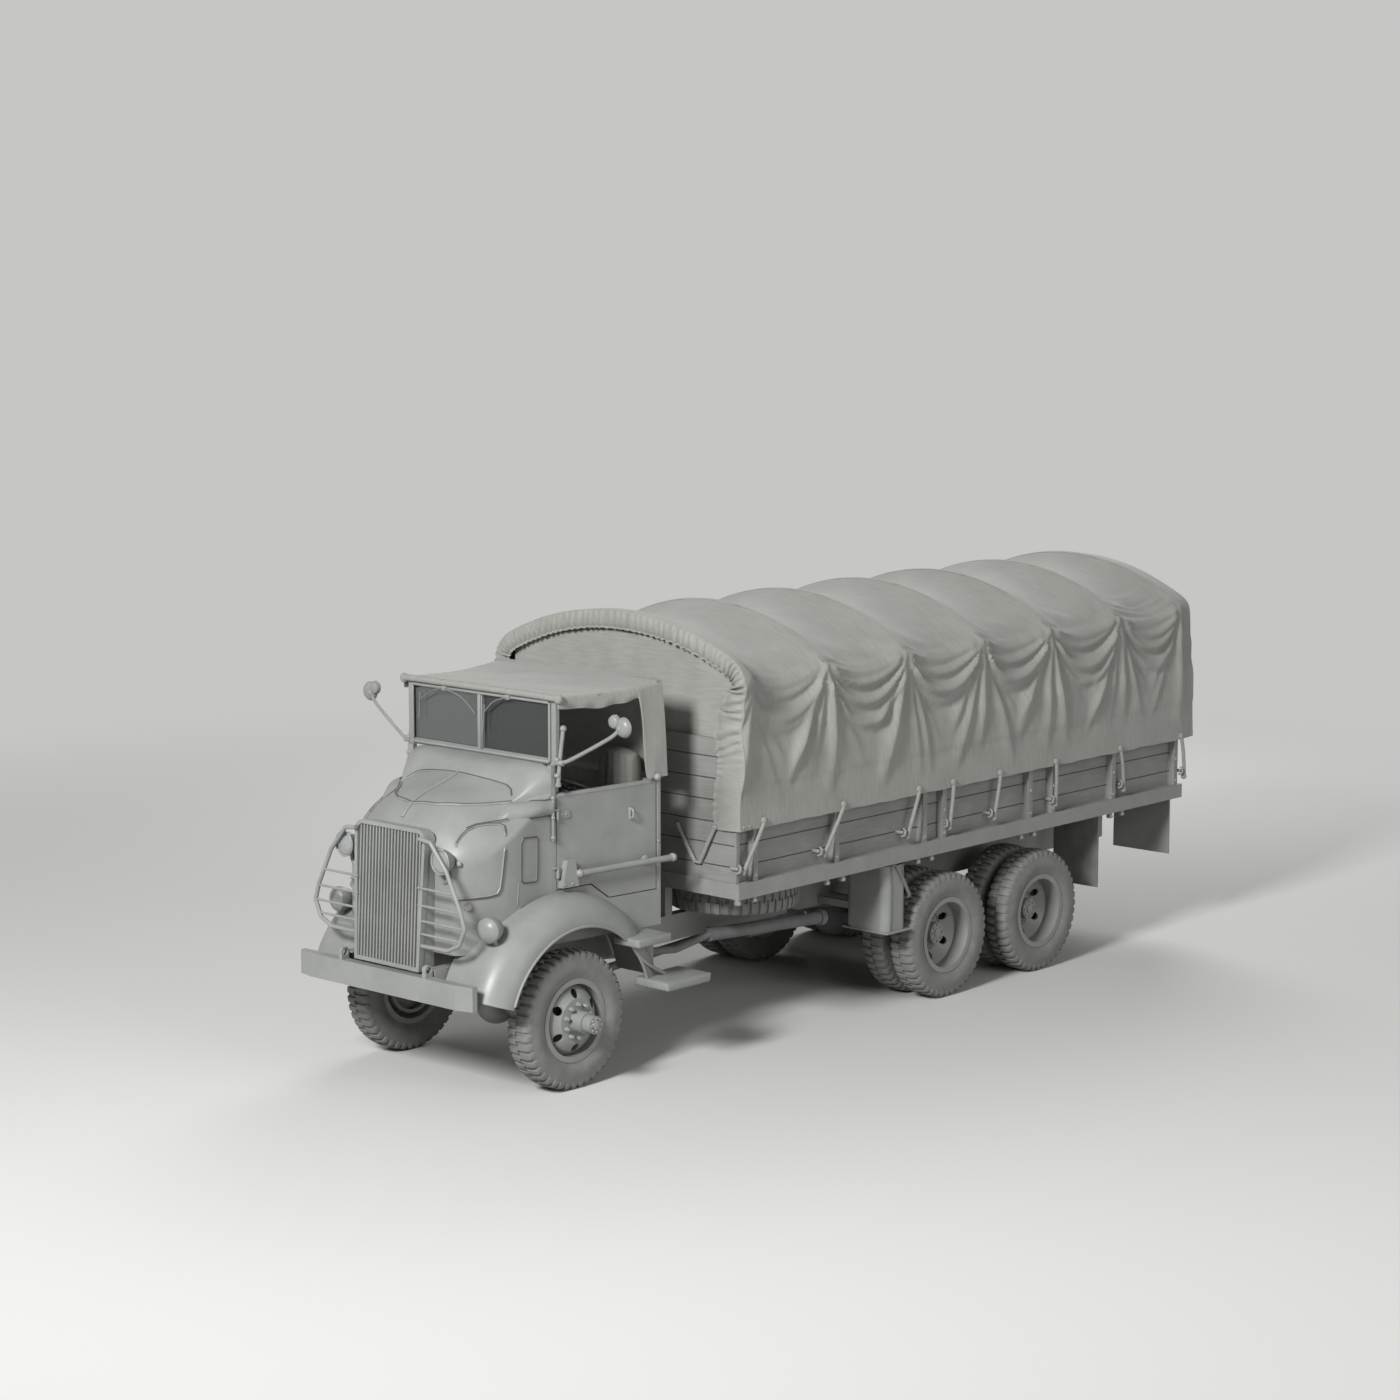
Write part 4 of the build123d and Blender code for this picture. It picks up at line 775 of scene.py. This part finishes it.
SKIRT = ((657, -311, 1382), (656, -325, 1243))
BELT_TOP = ((478, -278, 1880), (530, -228, 1884), (609, -161, 1889), (664, -72, 1890), (664, -30, 1890))
BELT_LOW = ((545, -395, 1786), (592, -325, 1786), (654, -207, 1789), (664, -74, 1787), (664, -30, 1787))

beads = [bent_bar("bead", laid(NOSE, line, lift), radius, roundness)
         for line, lift, radius, roundness in (
             (whole(RING), 3, 11, 4), (whole(COWL_SEAM), 2, 8, 3), (SPINE, 3, 12, 4))]
done(joined("bonnet_beads", beads), STEEL, angle=60)
# The dark lines laid along the seams are painted shade, standing in for the shadow in the seam grooves
seam_shade_lines = [(whole(RING), 12, False), (whole(COWL_SEAM), 8, False)]
for half, lift, closed in ((PANEL, 10, True), (FLANGE, 10, False), (HATCH, 3, True),
                           (BELT_TOP[2:], 5, False), (BELT_LOW[2:], 5, False)):
    seam_shade_lines += [(half, lift, closed), (mirrored(half), lift, closed)]
seam_shades = [bent_bar("seam", laid(NOSE, line, lift, closed, 6), 4.5, 2, closed)
         for line, lift, closed in seam_shade_lines]
done(joined("body_seam_fillets", seam_shades), SEAM_SHADE, angle=60)
edges = [bent_bar("edge", laid(NOSE, line, lift, closed, between), radius, roundness, closed)
         for line, lift, closed, between, radius, roundness in (
             (PANEL, 3, True, 6, 10, 4), (FLANGE, 3, False, 4, 9, 3),
             (HATCH, 0, True, 3, 5, 3), (SKIRT, 0, False, 4, 4, 3))]
done(both_sides("nose_panel_edges", edges), STEEL, angle=60)


def belt_band():
    """Rounded band pressed into the cowl side, fading out towards the bonnet."""
    rise, sunk = 34, -2
    rows = []
    lines = [laid(NOSE, line, between=6) for line in (BELT_TOP, BELT_LOW)]
    for n, (top, base) in enumerate(zip(*lines)):
        row = []
        for share in np.linspace(0, 1, 11):
            swell = rise * math.sin(math.pi * share) ** 0.6 * float(ease(0.2 + n / 7))
            lift = swell if 0 < share < 1 else sunk
            row += laid(NOSE, [Vector(top).lerp(Vector(base), share)], lift)
        rows.append(row)
    places = np.array(rows)
    return grid_sheet("belt_band", places, places[..., :2] / 1000, 4)


def cowl_panel():
    """Square-shouldered panel from the foot of the windscreen down to the bonnet."""
    half, low, rise, square = 672, 1900, 216, 0.32
    seam = [Vector(spot) for spot in laid(NOSE, COWL_SEAM + RING[-1:], between=8)]
    rows = []
    for share in np.linspace(0, 1, 18):
        row = []
        for turn in np.linspace(0, math.pi / 2, 60):
            x = half * math.sin(turn) ** square
            z = low + rise * max(0, math.cos(turn)) ** square
            step = min(x / half, 1) ** 1.6 * (len(seam) - 1)
            first = min(int(step), len(seam) - 2)
            spot = seam[first].lerp(seam[first + 1], step - first)
            place = Vector((x, 2, z)).lerp(spot, share)
            swell = 30 * math.sin(math.pi * share) * (1 - 0.3 * share)
            place += Vector((math.sin(turn) * swell * 0.5, -0.35 * swell, math.cos(turn) * swell))
            row.append(tuple(place))
        rows.append(whole(row))
    places = np.array(rows[::-1])
    return grid_sheet("cowl_panel", places, places[..., :2] / 1000, 5)


done(both_sides("cowl_belt_bands", [belt_band()]), STEEL, angle=60)
done(cowl_panel(), STEEL, angle=60)
stud = lathe("stud", [(-14, 0), (-14, 22), (4, 26), (14, 24), (20, 14), (22, 0)], moved(545, -646, 1263, -72))
catch = lathe("catch", [(-30, 0), (-30, 12), (0, 12), (4, 18), (14, 19), (22, 14), (25, 0)],
              moved(505, -688, 1546, -62))
done(both_sides("nose_studs", [stud, catch]), PLATED)

# Lamps: spun head lamps with a rolled rim and ribbed glass, and plain fender lamps
head_lamp = moved(452, -776, 1566, -90)
bowl = lathe("bowl", [(-66, 0), (-62, 28), (-46, 56), (-14, 74), (16, 80), (24, 85), (32, 85), (36, 80),
                      (32, 73), (22, 70), (14, 0)], head_lamp)
stalk = rod("stalk", (395, -730, 1566), (395, -690, 1566), 24)
arm = bent_bar("arm", [(452, -740, 1490), (452, -736, 1450), (430, -728, 1420), (400, -716, 1410)], 14)
egg = lathe("egg", [(-92, 0), (-86, 28), (-58, 60), (-16, 78), (18, 84), (36, 82), (54, 66), (68, 38),
                    (73, 0)], moved(706, -612, 1136, -78))
stem = rod("stem", (712, -598, 1080), (726, -560, 1000), 15)
foot = lathe("foot", [(0, 0), (0, 38), (10, 36), (16, 18), (18, 0)], moved(725, -562, 1004, -55, "Y"))
lamps = done(both_sides("lamp_bodies", [bowl, stalk, arm, egg, stem, foot]), STEEL)
dome = lathe("dome", [(14, 0), (22, 71), (30, 68), (38, 50), (43, 26), (45, 0)], head_lamp)
domes = done(both_sides("lamp_glasses", [dome]), LAMP_GLASS)
for piece in (lamps, domes):
    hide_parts("front_lamps")

# Windscreen fittings: frame bars, wipers and the corner tubes
bars = [rod("bar", *row) for row in (
    ((-640, -12, 2514), (640, -12, 2514), 10), ((0, -8, 2128), (0, -8, 2514), 11),
    ((-640, -10, 2130), (640, -10, 2130), 12), ((-640, -8, 2128), (-640, -8, 2514), 9),
    ((640, -8, 2128), (640, -8, 2514), 9), ((-18, -6, 2150), (-18, -6, 2500), 5),
    ((18, -6, 2150), (18, -6, 2500), 5))]
for x in (-319, 273):
    bars.append(block("bar", (x - 24, x + 24), (-36, 2), (2498, 2530), 6))
    bars.append(rod("bar", (x, -40, 2514), (x, -20, 2514), 13))
done(joined("windscreen_fittings", bars), STEEL)
wipers = [bent_bar("wiper", points, 5) for points in (
    ((273, -38, 2512), (180, -40, 2492), (110, -34, 2440), (49, -24, 2384)),
    ((-319, -38, 2516), (-420, -40, 2494), (-495, -34, 2452), (-562, -24, 2408)),
    ((-300, -38, 2512), (-200, -40, 2500), (-90, -34, 2445), (-27, -24, 2376)))]
for x, z in ((49, 2384), (-562, 2408)):
    wipers.append(rod("blade", (x - 8, -20, z - 120), (x + 8, -20, z + 60), 6, 8))
done(joined("wipers", wipers), IRON)
tube = bent_bar("tube", [(700, 8, 1978), (701, 12, 2060), (703, 30, 2200), (705, 44, 2300),
                         (705, 52, 2342)], 14)
tips = [ball("tip", *row) for row in (
    ((705, 52, 2344), 23), ((694, 4, 2044), 21, (1.1, 1, 0.8)), ((696, 2, 2146), 19),
    ((684, -24, 1900), 17), ((684, -24, 1640), 17), ((684, -24, 1770), 15))]
pivots = [rod("pivot", *row) for row in (
    ((678, 6, 2128), (742, 16, 2128), 19), ((700, 8, 1972), (700, 8, 1996), 20),
    ((684, -24, 1619), (684, -24, 1900), 11))]
done(both_sides("windscreen_corner_tubes", [tube] + tips + pivots), STEEL)

# Mirrors: a bent arm, a two-lobed back and a round glass
mirror = moved(1186, 100, 2396, 90)
arm = bent_bar("arm", [(690, 16, 2128), (735, 16, 2130), (790, 26, 2150), (1090, 76, 2316), (1140, 88, 2356),
                       (1172, 95, 2390)], 13, 5)
lobes = [lathe("lobe", [(-26, 0), (-24, 30), (-14, 52), (2, 64), (12, 66), (16, 62), (12, 56), (6, 0)],
               mirror),
         lathe("lobe", [(-30, 0), (-28, 20), (-18, 38), (0, 46), (10, 45), (14, 40), (8, 0)],
               moved(1122, 92, 2428, 90)),
         ball("joint", (1170, 92, 2388), 24)]
arms = done(both_sides("mirror_arms", [arm] + lobes), STEEL)
face = lathe("face", [(4, 0), (6, 57), (10, 57), (13, 40), (14, 0)], mirror)
faces = done(both_sides("mirror_glasses", [face]), SILVER)
for piece in (arms, faces):
    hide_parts("mirrors")

# Doors: handle, ends and bosses of the guard rail, and bolts
SIDE_X, SIDE_Y, SIDE_ANGLE = 668, -25, math.atan(0.10323)
RAIL_Z = 1386


def by_side(y, out, z):
    """Place on the slanting cab side."""
    x = SIDE_X + (y - SIDE_Y) * math.tan(SIDE_ANGLE)
    return (x + out * math.cos(SIDE_ANGLE), y - out * math.sin(SIDE_ANGLE), z)


HANDLE_Y = 640
handle = [by_side(HANDLE_Y, out, z) for out, z in (
    (-2, 1688), (22, 1686), (34, 1700), (34, 1734), (22, 1748), (-2, 1746))]
plate = rod("plate", by_side(HANDLE_Y, -2, 1676), by_side(HANDLE_Y, -2, 1758), 14)
pieces = [bent_bar("handle", handle, 8), plate]
for y in (165, 965):
    pieces.append(ball("end", by_side(y, 52, RAIL_Z), 29, (1, 0.9, 1)))
for y in (218, 768):
    pieces.append(lathe("boss", [(-4, 0), (-4, 34), (8, 32), (14, 18), (14, 0)],
                        moved(*by_side(y, 0, RAIL_Z), -math.degrees(SIDE_ANGLE))))
for z in (1400, 1780):
    for y in (60, 95):
        pieces.append(ball("bolt", by_side(y, 8, z), 8, (0.6, 1, 1), 6))
for y in (45, 110):
    pieces.append(ball("bolt", by_side(y, 50, 1325), 9, (0.6, 1, 1), 6))
left = joined("door_fittings_left", pieces)
right = renamed(copied(left, OTHER_SIDE), "door_fittings_right")
for side, piece in (("left", left), ("right", right)):
    done(piece, PLATED, f"door_{side}")
button = [rod("button", (740, 846, 1938), (796, 840, 1940), 13), ball("button", (798, 838, 1940), 25),
          rod("button", (745, 885, 1500), (772, 885, 1500), 10)]
done(both_sides("cab_turn_buttons", button), PLATED)

# Fender beads, step straps, step aprons and splash plates
ARCH_Y, ARCH_Z, RIM_X, RIM_RADIUS, SPLASH_RADIUS = 5, 430, 905, 650, 834


def on_arch(x, angle, radius):
    """Places about the middle of the wheel arch."""
    return x, ARCH_Y + radius * np.cos(angle), ARCH_Z + radius * np.sin(angle)


def splash_plate():
    """Curved plate behind the front wheel, from the fender in to the frame."""
    angle, x = np.meshgrid(np.radians(np.linspace(12, 36, 14)), np.linspace(700, 440, 8), indexing="ij")
    places = np.stack(on_arch(x, angle, SPLASH_RADIUS), -1)
    return grid_sheet("plate", places, places[..., :2] / 1000, 4)


rim = [on_arch(RIM_X, math.radians(angle), RIM_RADIUS) for angle in range(15, 162, 6)]
strap = bent_bar("strap", [(900, 486, 902), (900, 500, 850), (905, 580, 760), (910, 690, 690),
                           (915, 760, 655), (915, 790, 632)], 13)
aprons = [block("apron", (797, 1103), (609, 1033), (574, 635), 16, 4),
          block("apron", (787, 1013), (427, 743), (882, 937), 12, 4)]
done(both_sides("fender_beads", [bent_bar("bead", rim, 10), strap]), STEEL)
done(both_sides("step_aprons", aprons), STEEL)
done(both_sides("fender_splash_plates", [splash_plate()]), IRON, angle=60)

# Seats: stuffed cotton cushions with sewn channels
CHANNELS, CHANNEL_WIDTH, CHANNEL_DEPTH, PAD_ROUND = (-0.6, -0.2, 0.2, 0.6), 0.035, 11, 0.55


def cushion(name, low, high, face):
    """Crowned pad between two corners; its sewn channels run on the top or the front."""
    middle, half = (Vector(low) + Vector(high)) / 2, (Vector(high) - Vector(low)) / 2
    bpy.ops.mesh.primitive_cube_add(size=2)
    pad = settle(name)
    bpy.ops.object.mode_set(mode="EDIT")
    bpy.ops.mesh.select_all(action="SELECT")
    bpy.ops.mesh.subdivide(number_cuts=27)
    bpy.ops.object.mode_set(mode="OBJECT")
    layer = pad.data.uv_layers.new(name="flat")
    for corner in pad.data.vertices:
        a, b, c = corner.co
        aa, bb, cc = PAD_ROUND * a * a, PAD_ROUND * b * b, PAD_ROUND * c * c
        x = a * math.sqrt(1 - bb / 4 - cc / 4)
        y = b * math.sqrt(1 - aa / 3 - cc / 3)
        z = c * math.sqrt(1 - aa / 3 - bb / 3)
        seam = sum(hump((a - line) / CHANNEL_WIDTH) for line in CHANNELS)
        front = max(0, c) if face == "top" else max(0, -b)
        sink = CHANNEL_DEPTH * seam * front ** 6
        place = middle + Vector((x * half.x, y * half.y, z * half.z))
        place += Vector((0, 0, -sink)) if face == "top" else Vector((0, sink, 0))
        corner.co = at(*place)
    for loop in pad.data.loops:
        x, y, z = pad.data.vertices[loop.vertex_index].co
        layer.data[loop.index].uv = (x + 0.3 * y, z + y)
    press(pad, "SUBSURF", levels=1, render_levels=1)
    return pad


for side, sign in SIDES:
    low_x, high_x = sorted((sign * 302, sign * 638))
    for part, low, high, face in (("base", (low_x, 432, 1402), (high_x, 770, 1534), "top"),
                                  ("back", (low_x, 766, 1410), (high_x, 884, 2108), "front")):
        pad = done(cushion(f"seat_{part}_{side}", low, high, face), DRILL, angle=80)
        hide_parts("seats")

# Cab controls: gear levers on the engine cover and dash dials
cover_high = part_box("engine_cover")[1]
foot_z, foot_y = cover_high[2] * 1000, (cover_high[1] - FRONT_AXLE) * 1000 - 90
levers = []
for x, top in ((40, 1810), (-40, 1730), (110, 1700)):
    line = [(x, foot_y, foot_z - 10), (x, foot_y + 5, foot_z + 80), (x + 12, foot_y + 60, top - 60),
            (x + 16, foot_y + 80, top)]
    boot = lathe("boot", [(-4, 0), (-4, 46), (10, 40), (34, 18), (44, 12), (44, 0)],
                 moved(x, foot_y, foot_z, -90, "Y"))
    levers += [bent_bar("lever", line, 9), ball("grip", line[-1], 22), boot]
done(joined("gear_levers", levers), PLASTIC)
dials = [lathe("dial", [(-6, 0), (-6, size), (8, size), (12, size - 4), (9, size - 8), (8, 0)],
               moved(x, 80, 1900, 90))
         for x, size in ((390, 46), (280, 36), (500, 36), (180, 30), (590, 28), (-300, 60))]
done(joined("dash_dials", dials), PLASTIC)

# Straps, eyelets and hooks that hold the cover down
ties = []
for number, (eye, hook) in enumerate(TIES):
    eye_z, hook_z = 1588 - 3 * number, 1262 - 3 * number
    strap = [(1131, eye, eye_z), (1134, eye * 0.85 + hook * 0.15, eye_z - 50),
             (1128, eye * 0.4 + hook * 0.6, 1400), (1116, hook, hook_z)]
    loop = [(1100, hook - 50, 1264), (1124, hook - 52, 1266), (1130, hook - 46, 1290),
            (1126, hook - 36, 1312), (1104, hook - 34, 1316)]
    ties += [bent_bar("tie", strap, 14), ball("tie", (1129, eye, eye_z + 4), 27, (0.7, 1, 1)),
             ball("tie", (1112, hook, hook_z), 22), bent_bar("tie", loop, 8),
             rod("tie", (1040, hook - 40, 1290), (1112, hook - 40, 1290), 13)]
done(both_sides("cover_ties", ties), WEBBING)
front_ties = [bent_bar("tie", points, 15) for points in (
    ((905, 1288, 1552), (860, 1282, 1470), (800, 1284, 1350), (770, 1288, 1302)),
    ((560, 1290, 1530), (620, 1284, 1450), (690, 1284, 1350), (722, 1288, 1302)))]
front_ties += [ball("tie", (905, 1288, 1552), 20), ball("tie", (560, 1294, 1530), 18)]
front_ties += [rod("tie", *row) for row in (
    ((770, 1280, 1300), (770, 1310, 1300), 15), ((722, 1280, 1300), (722, 1310, 1300), 15),
    ((715, 1284, 1296), (778, 1284, 1296), 10))]
done(both_sides("front_ties", front_ties), WEBBING)
lugs = []
for y in (1308, 1467, 2228, 2396, 3230, 3385, 4450, 4610, 5590, 5740):
    lugs.append(block("lug", (1076, 1108), (y - 17, y + 17), (1040, 1083), 6))
    lugs.append(rod("lug", (1070, y, 1054), (1116, y, 1054), 12))
done(both_sides("sill_lugs", lugs), PLATED)
bolts = [ball("bolt", (1106, y, z), 13, (0.55, 1, 1), 8)
         for y in (1474, 2325, 3300, 3525, 4557, 4844, 5618, 6455) for z in (1222, 1390, 1565)]
done(both_sides("bed_post_bolts", bolts), PLATED)
rivets = [ball("rivet", (1126, y, 1572), 12, (0.5, 1, 1), 8) for y in (1330, 1390)]
done(both_sides("hem_rivets", rivets), PLATED)

# Tank straps, filler pipe and cap; tool chest lid, hasps and grip
tank = [block("strap", (702, 1094), (y, y + 34), (588, 1064), 20, 4) for y in (2930, 3055)]
pipe = bent_bar("pipe", [(1050, 2960, 1050), (1078, 2962, 1072), (1100, 3000, 1050), (1102, 3070, 940),
                         (1102, 3118, 860), (1096, 3150, 818), (1060, 3152, 806), (1030, 3126, 806)], 13)
cap = lathe("cap", [(-6, 0), (-6, 52), (14, 52), (18, 46), (34, 44), (38, 36), (38, 0)],
            moved(880, 3010, 1060, -90, "Y"))
done(joined("tank_straps", tank + [pipe, cap]), IRON)
chest = [block("lid", (-1098, -694), (2474, 3106), (985, 1016), 7)]
chest += [block("hasp", (-1106, -1090), (y, y + 40), (900, 1000), 4) for y in (2650, 2890)]
chest.append(rod("grip", (-1108, 2660, 880), (-1108, 2920, 880), 9))
chest += [rod("grip", (-1108, y, 880), (-1088, y, 880), 9) for y in (2660, 2920)]
done(joined("tool_box_fittings", chest), STEEL)

# Wheel nuts and hub bolts
NUT_RING, NUTS, HUB_BOLTS = 111, 10, 8


def ring_of(piece, count, centre):
    middle = Matrix.Translation(at(*centre))
    ring = [copied(piece, middle @ turned(360 * n / count, "X") @ middle.inverted()) for n in range(count)]
    bpy.data.objects.remove(piece)
    return ring


def fastenings(y, face, hub, hub_radius):
    """Wheel nuts round the disc and bolts on the hub, on the left side."""
    nut_z, bolt_z, axle = TYRE_R + NUT_RING, TYRE_R + hub_radius, (0, y, TYRE_R)
    nut = rod("nut", (face - 6, y, nut_z), (face + 20, y, nut_z), 17, 6, 3)
    stud = rod("stud", (face + 10, y, nut_z), (face + 32, y, nut_z), 8, 10, 2)
    bolt = rod("bolt", (hub - 6, y, bolt_z), (hub + 9, y, bolt_z), 9, 6, 2)
    cap = lathe("cap", [(0, 0), (0, 34), (10, 30), (16, 0)], moved(hub - 2, y, TYRE_R))
    nuts = ring_of(joined("nut", [nut, stud]), NUTS, axle)
    return joined("fastenings", nuts + ring_of(bolt, HUB_BOLTS, axle) + [cap])


# Body, axle, face of the disc, end of the hub and radius of its bolts
wheel_sets = [("front_wheel_{}", 0, FRONT_WHEEL_X + 104, FRONT_WHEEL_X + 270, 44)]
for number, y in REAR_AXLES:
    wheel_sets.append(("rear_wheels_{}_" + str(number), y, REAR_WHEEL_X + 10, REAR_WHEEL_X + 116, 58))
for body, y, face, hub, hub_radius in wheel_sets:
    left = fastenings(y, face, hub, hub_radius)
    for side, piece in (("left", left), ("right", copied(left, OTHER_SIDE))):
        done(renamed(piece, f"wheel_nuts_{side}_{y}"), PLATED, body.format(side))

# Rear end: tail lamps, reflectors and tailgate fittings
tail_lamp = moved(750, 6515, 970, 90)
tail = [lathe("tail", [(-4, 0), (-4, 46), (20, 44), (26, 38), (22, 34), (22, 0)], tail_lamp),
        block("tail", (880, 960), (6464, 6476), (900, 960), 4)]
done(both_sides("tail_lamps", tail), STEEL)
tail_domes = [lathe("dome", [(18, 0), (22, 35), (30, 28), (36, 0)], tail_lamp),
              lathe("dome", [(0, 0), (2, 22), (6, 18), (8, 0)], moved(920, 6476, 930, 90))]
done(both_sides("tail_lamp_glasses", tail_domes), LAMP_GLASS)
gate = [ball("bolt", (x, 6544, z), 10, (1, 0.6, 1), 8) for x in (-800, -270, 270, 800) for z in (1250, 1300)]
gate += [block("rib", (x - 30, x + 30), (6526, 6540), (1200, 1612), 4) for x in (-620, 0, 620)]
gate.append(block("rib", (-1000, 1000), (6526, 6538), (1585, 1618), 4))
done(joined("tailgate_ribs", gate), STEEL, "tailgate")


# Floor, light and camera
def backdrop_rays(tree):
    """One where the camera, a reflection or glass looks at the backdrop, zero for other light."""
    path = add(tree, "LightPath", {})
    seen = add(tree, "Math", {0: (path, "Is Camera Ray"), 1: (path, "Is Glossy Ray")}, operation="MAXIMUM")
    every = {0: (seen, "Value"), 1: (path, "Is Transmission Ray")}
    return add(tree, "Math", every, operation="MAXIMUM"), "Value"


bpy.ops.mesh.primitive_plane_add(size=600)
floor = settle("studio_floor")
material, tree = started("pale_studio_floor")
FLOOR_TONE = tone("#c6c6c4")
place = add(tree, "TexCoord", {}), "Object"
far = add(tree, "VectorMath", {0: place}, operation="LENGTH")
fade = add(tree, "MapRange", {"Value": (far, "Value"), "From Min": 5.0, "From Max": 15.0},
           interpolation_type="SMOOTHSTEP")
shown = add(tree, "Math", {0: (fade, "Result"), 1: backdrop_rays(tree)}, operation="MULTIPLY")
near = add(tree, "BsdfDiffuse", {"Color": FLOOR_TONE})
even = add(tree, "Emission", {"Color": FLOOR_TONE, "Strength": 1.0})
blend = add(tree, "MixShader", {"Fac": (shown, "Value"), 1: (near, "BSDF"), 2: (even, "Emission")})
add(tree, "OutputMaterial", {"Surface": (blend, "Shader")})
floor.data.materials.append(material)

world = bpy.data.worlds.new("studio_air")
world.use_nodes = True
tree = world.node_tree
tree.nodes.clear()
air = add(tree, "Background", {"Color": tone("#d4d4d2"), "Strength": 0.28})
backdrop = add(tree, "Background", {"Color": FLOOR_TONE, "Strength": 1.0})
blend = add(tree, "MixShader", {"Fac": backdrop_rays(tree), 1: (air, "Background"),
                                2: (backdrop, "Background")})
add(tree, "OutputWorld", {"Surface": (blend, "Shader")})
bpy.context.scene.world = world

# Studio lamps: place, size in metres and power in watts; each points at the middle of the truck
LIT_SPOT = at(0, 2900, 1300)
for name, place, size, power in (("key_lamp", (4500, -15500, 11500), 4.0, 5200),
                                 ("fill_lamp", (16000, 1000, 7000), 9.0, 800),
                                 ("rear_lamp", (-6000, 13000, 9000), 7.0, 1100)):
    lamp = bpy.data.lights.new(name, "AREA")
    lamp.size = size
    lamp.energy = power
    holder = placed(name, lamp)
    holder.location = at(*place)
    holder.rotation_euler = (LIT_SPOT - holder.location).to_track_quat("-Z", "Y").to_euler()

# Camera: place, tilt and heading are fitted to the photo's view
lens = bpy.data.cameras.new("camera")
lens.lens = 84.117
lens.sensor_width = 36
lens.clip_end = 200
camera = placed("camera", lens)
camera.location = at(15263.4, -14719, 5653.5)
camera.rotation_euler = (math.radians(90 - 8.57), 0, math.radians(42.16))
bpy.context.scene.camera = camera
bpy.context.scene.view_settings.view_transform = "Standard"
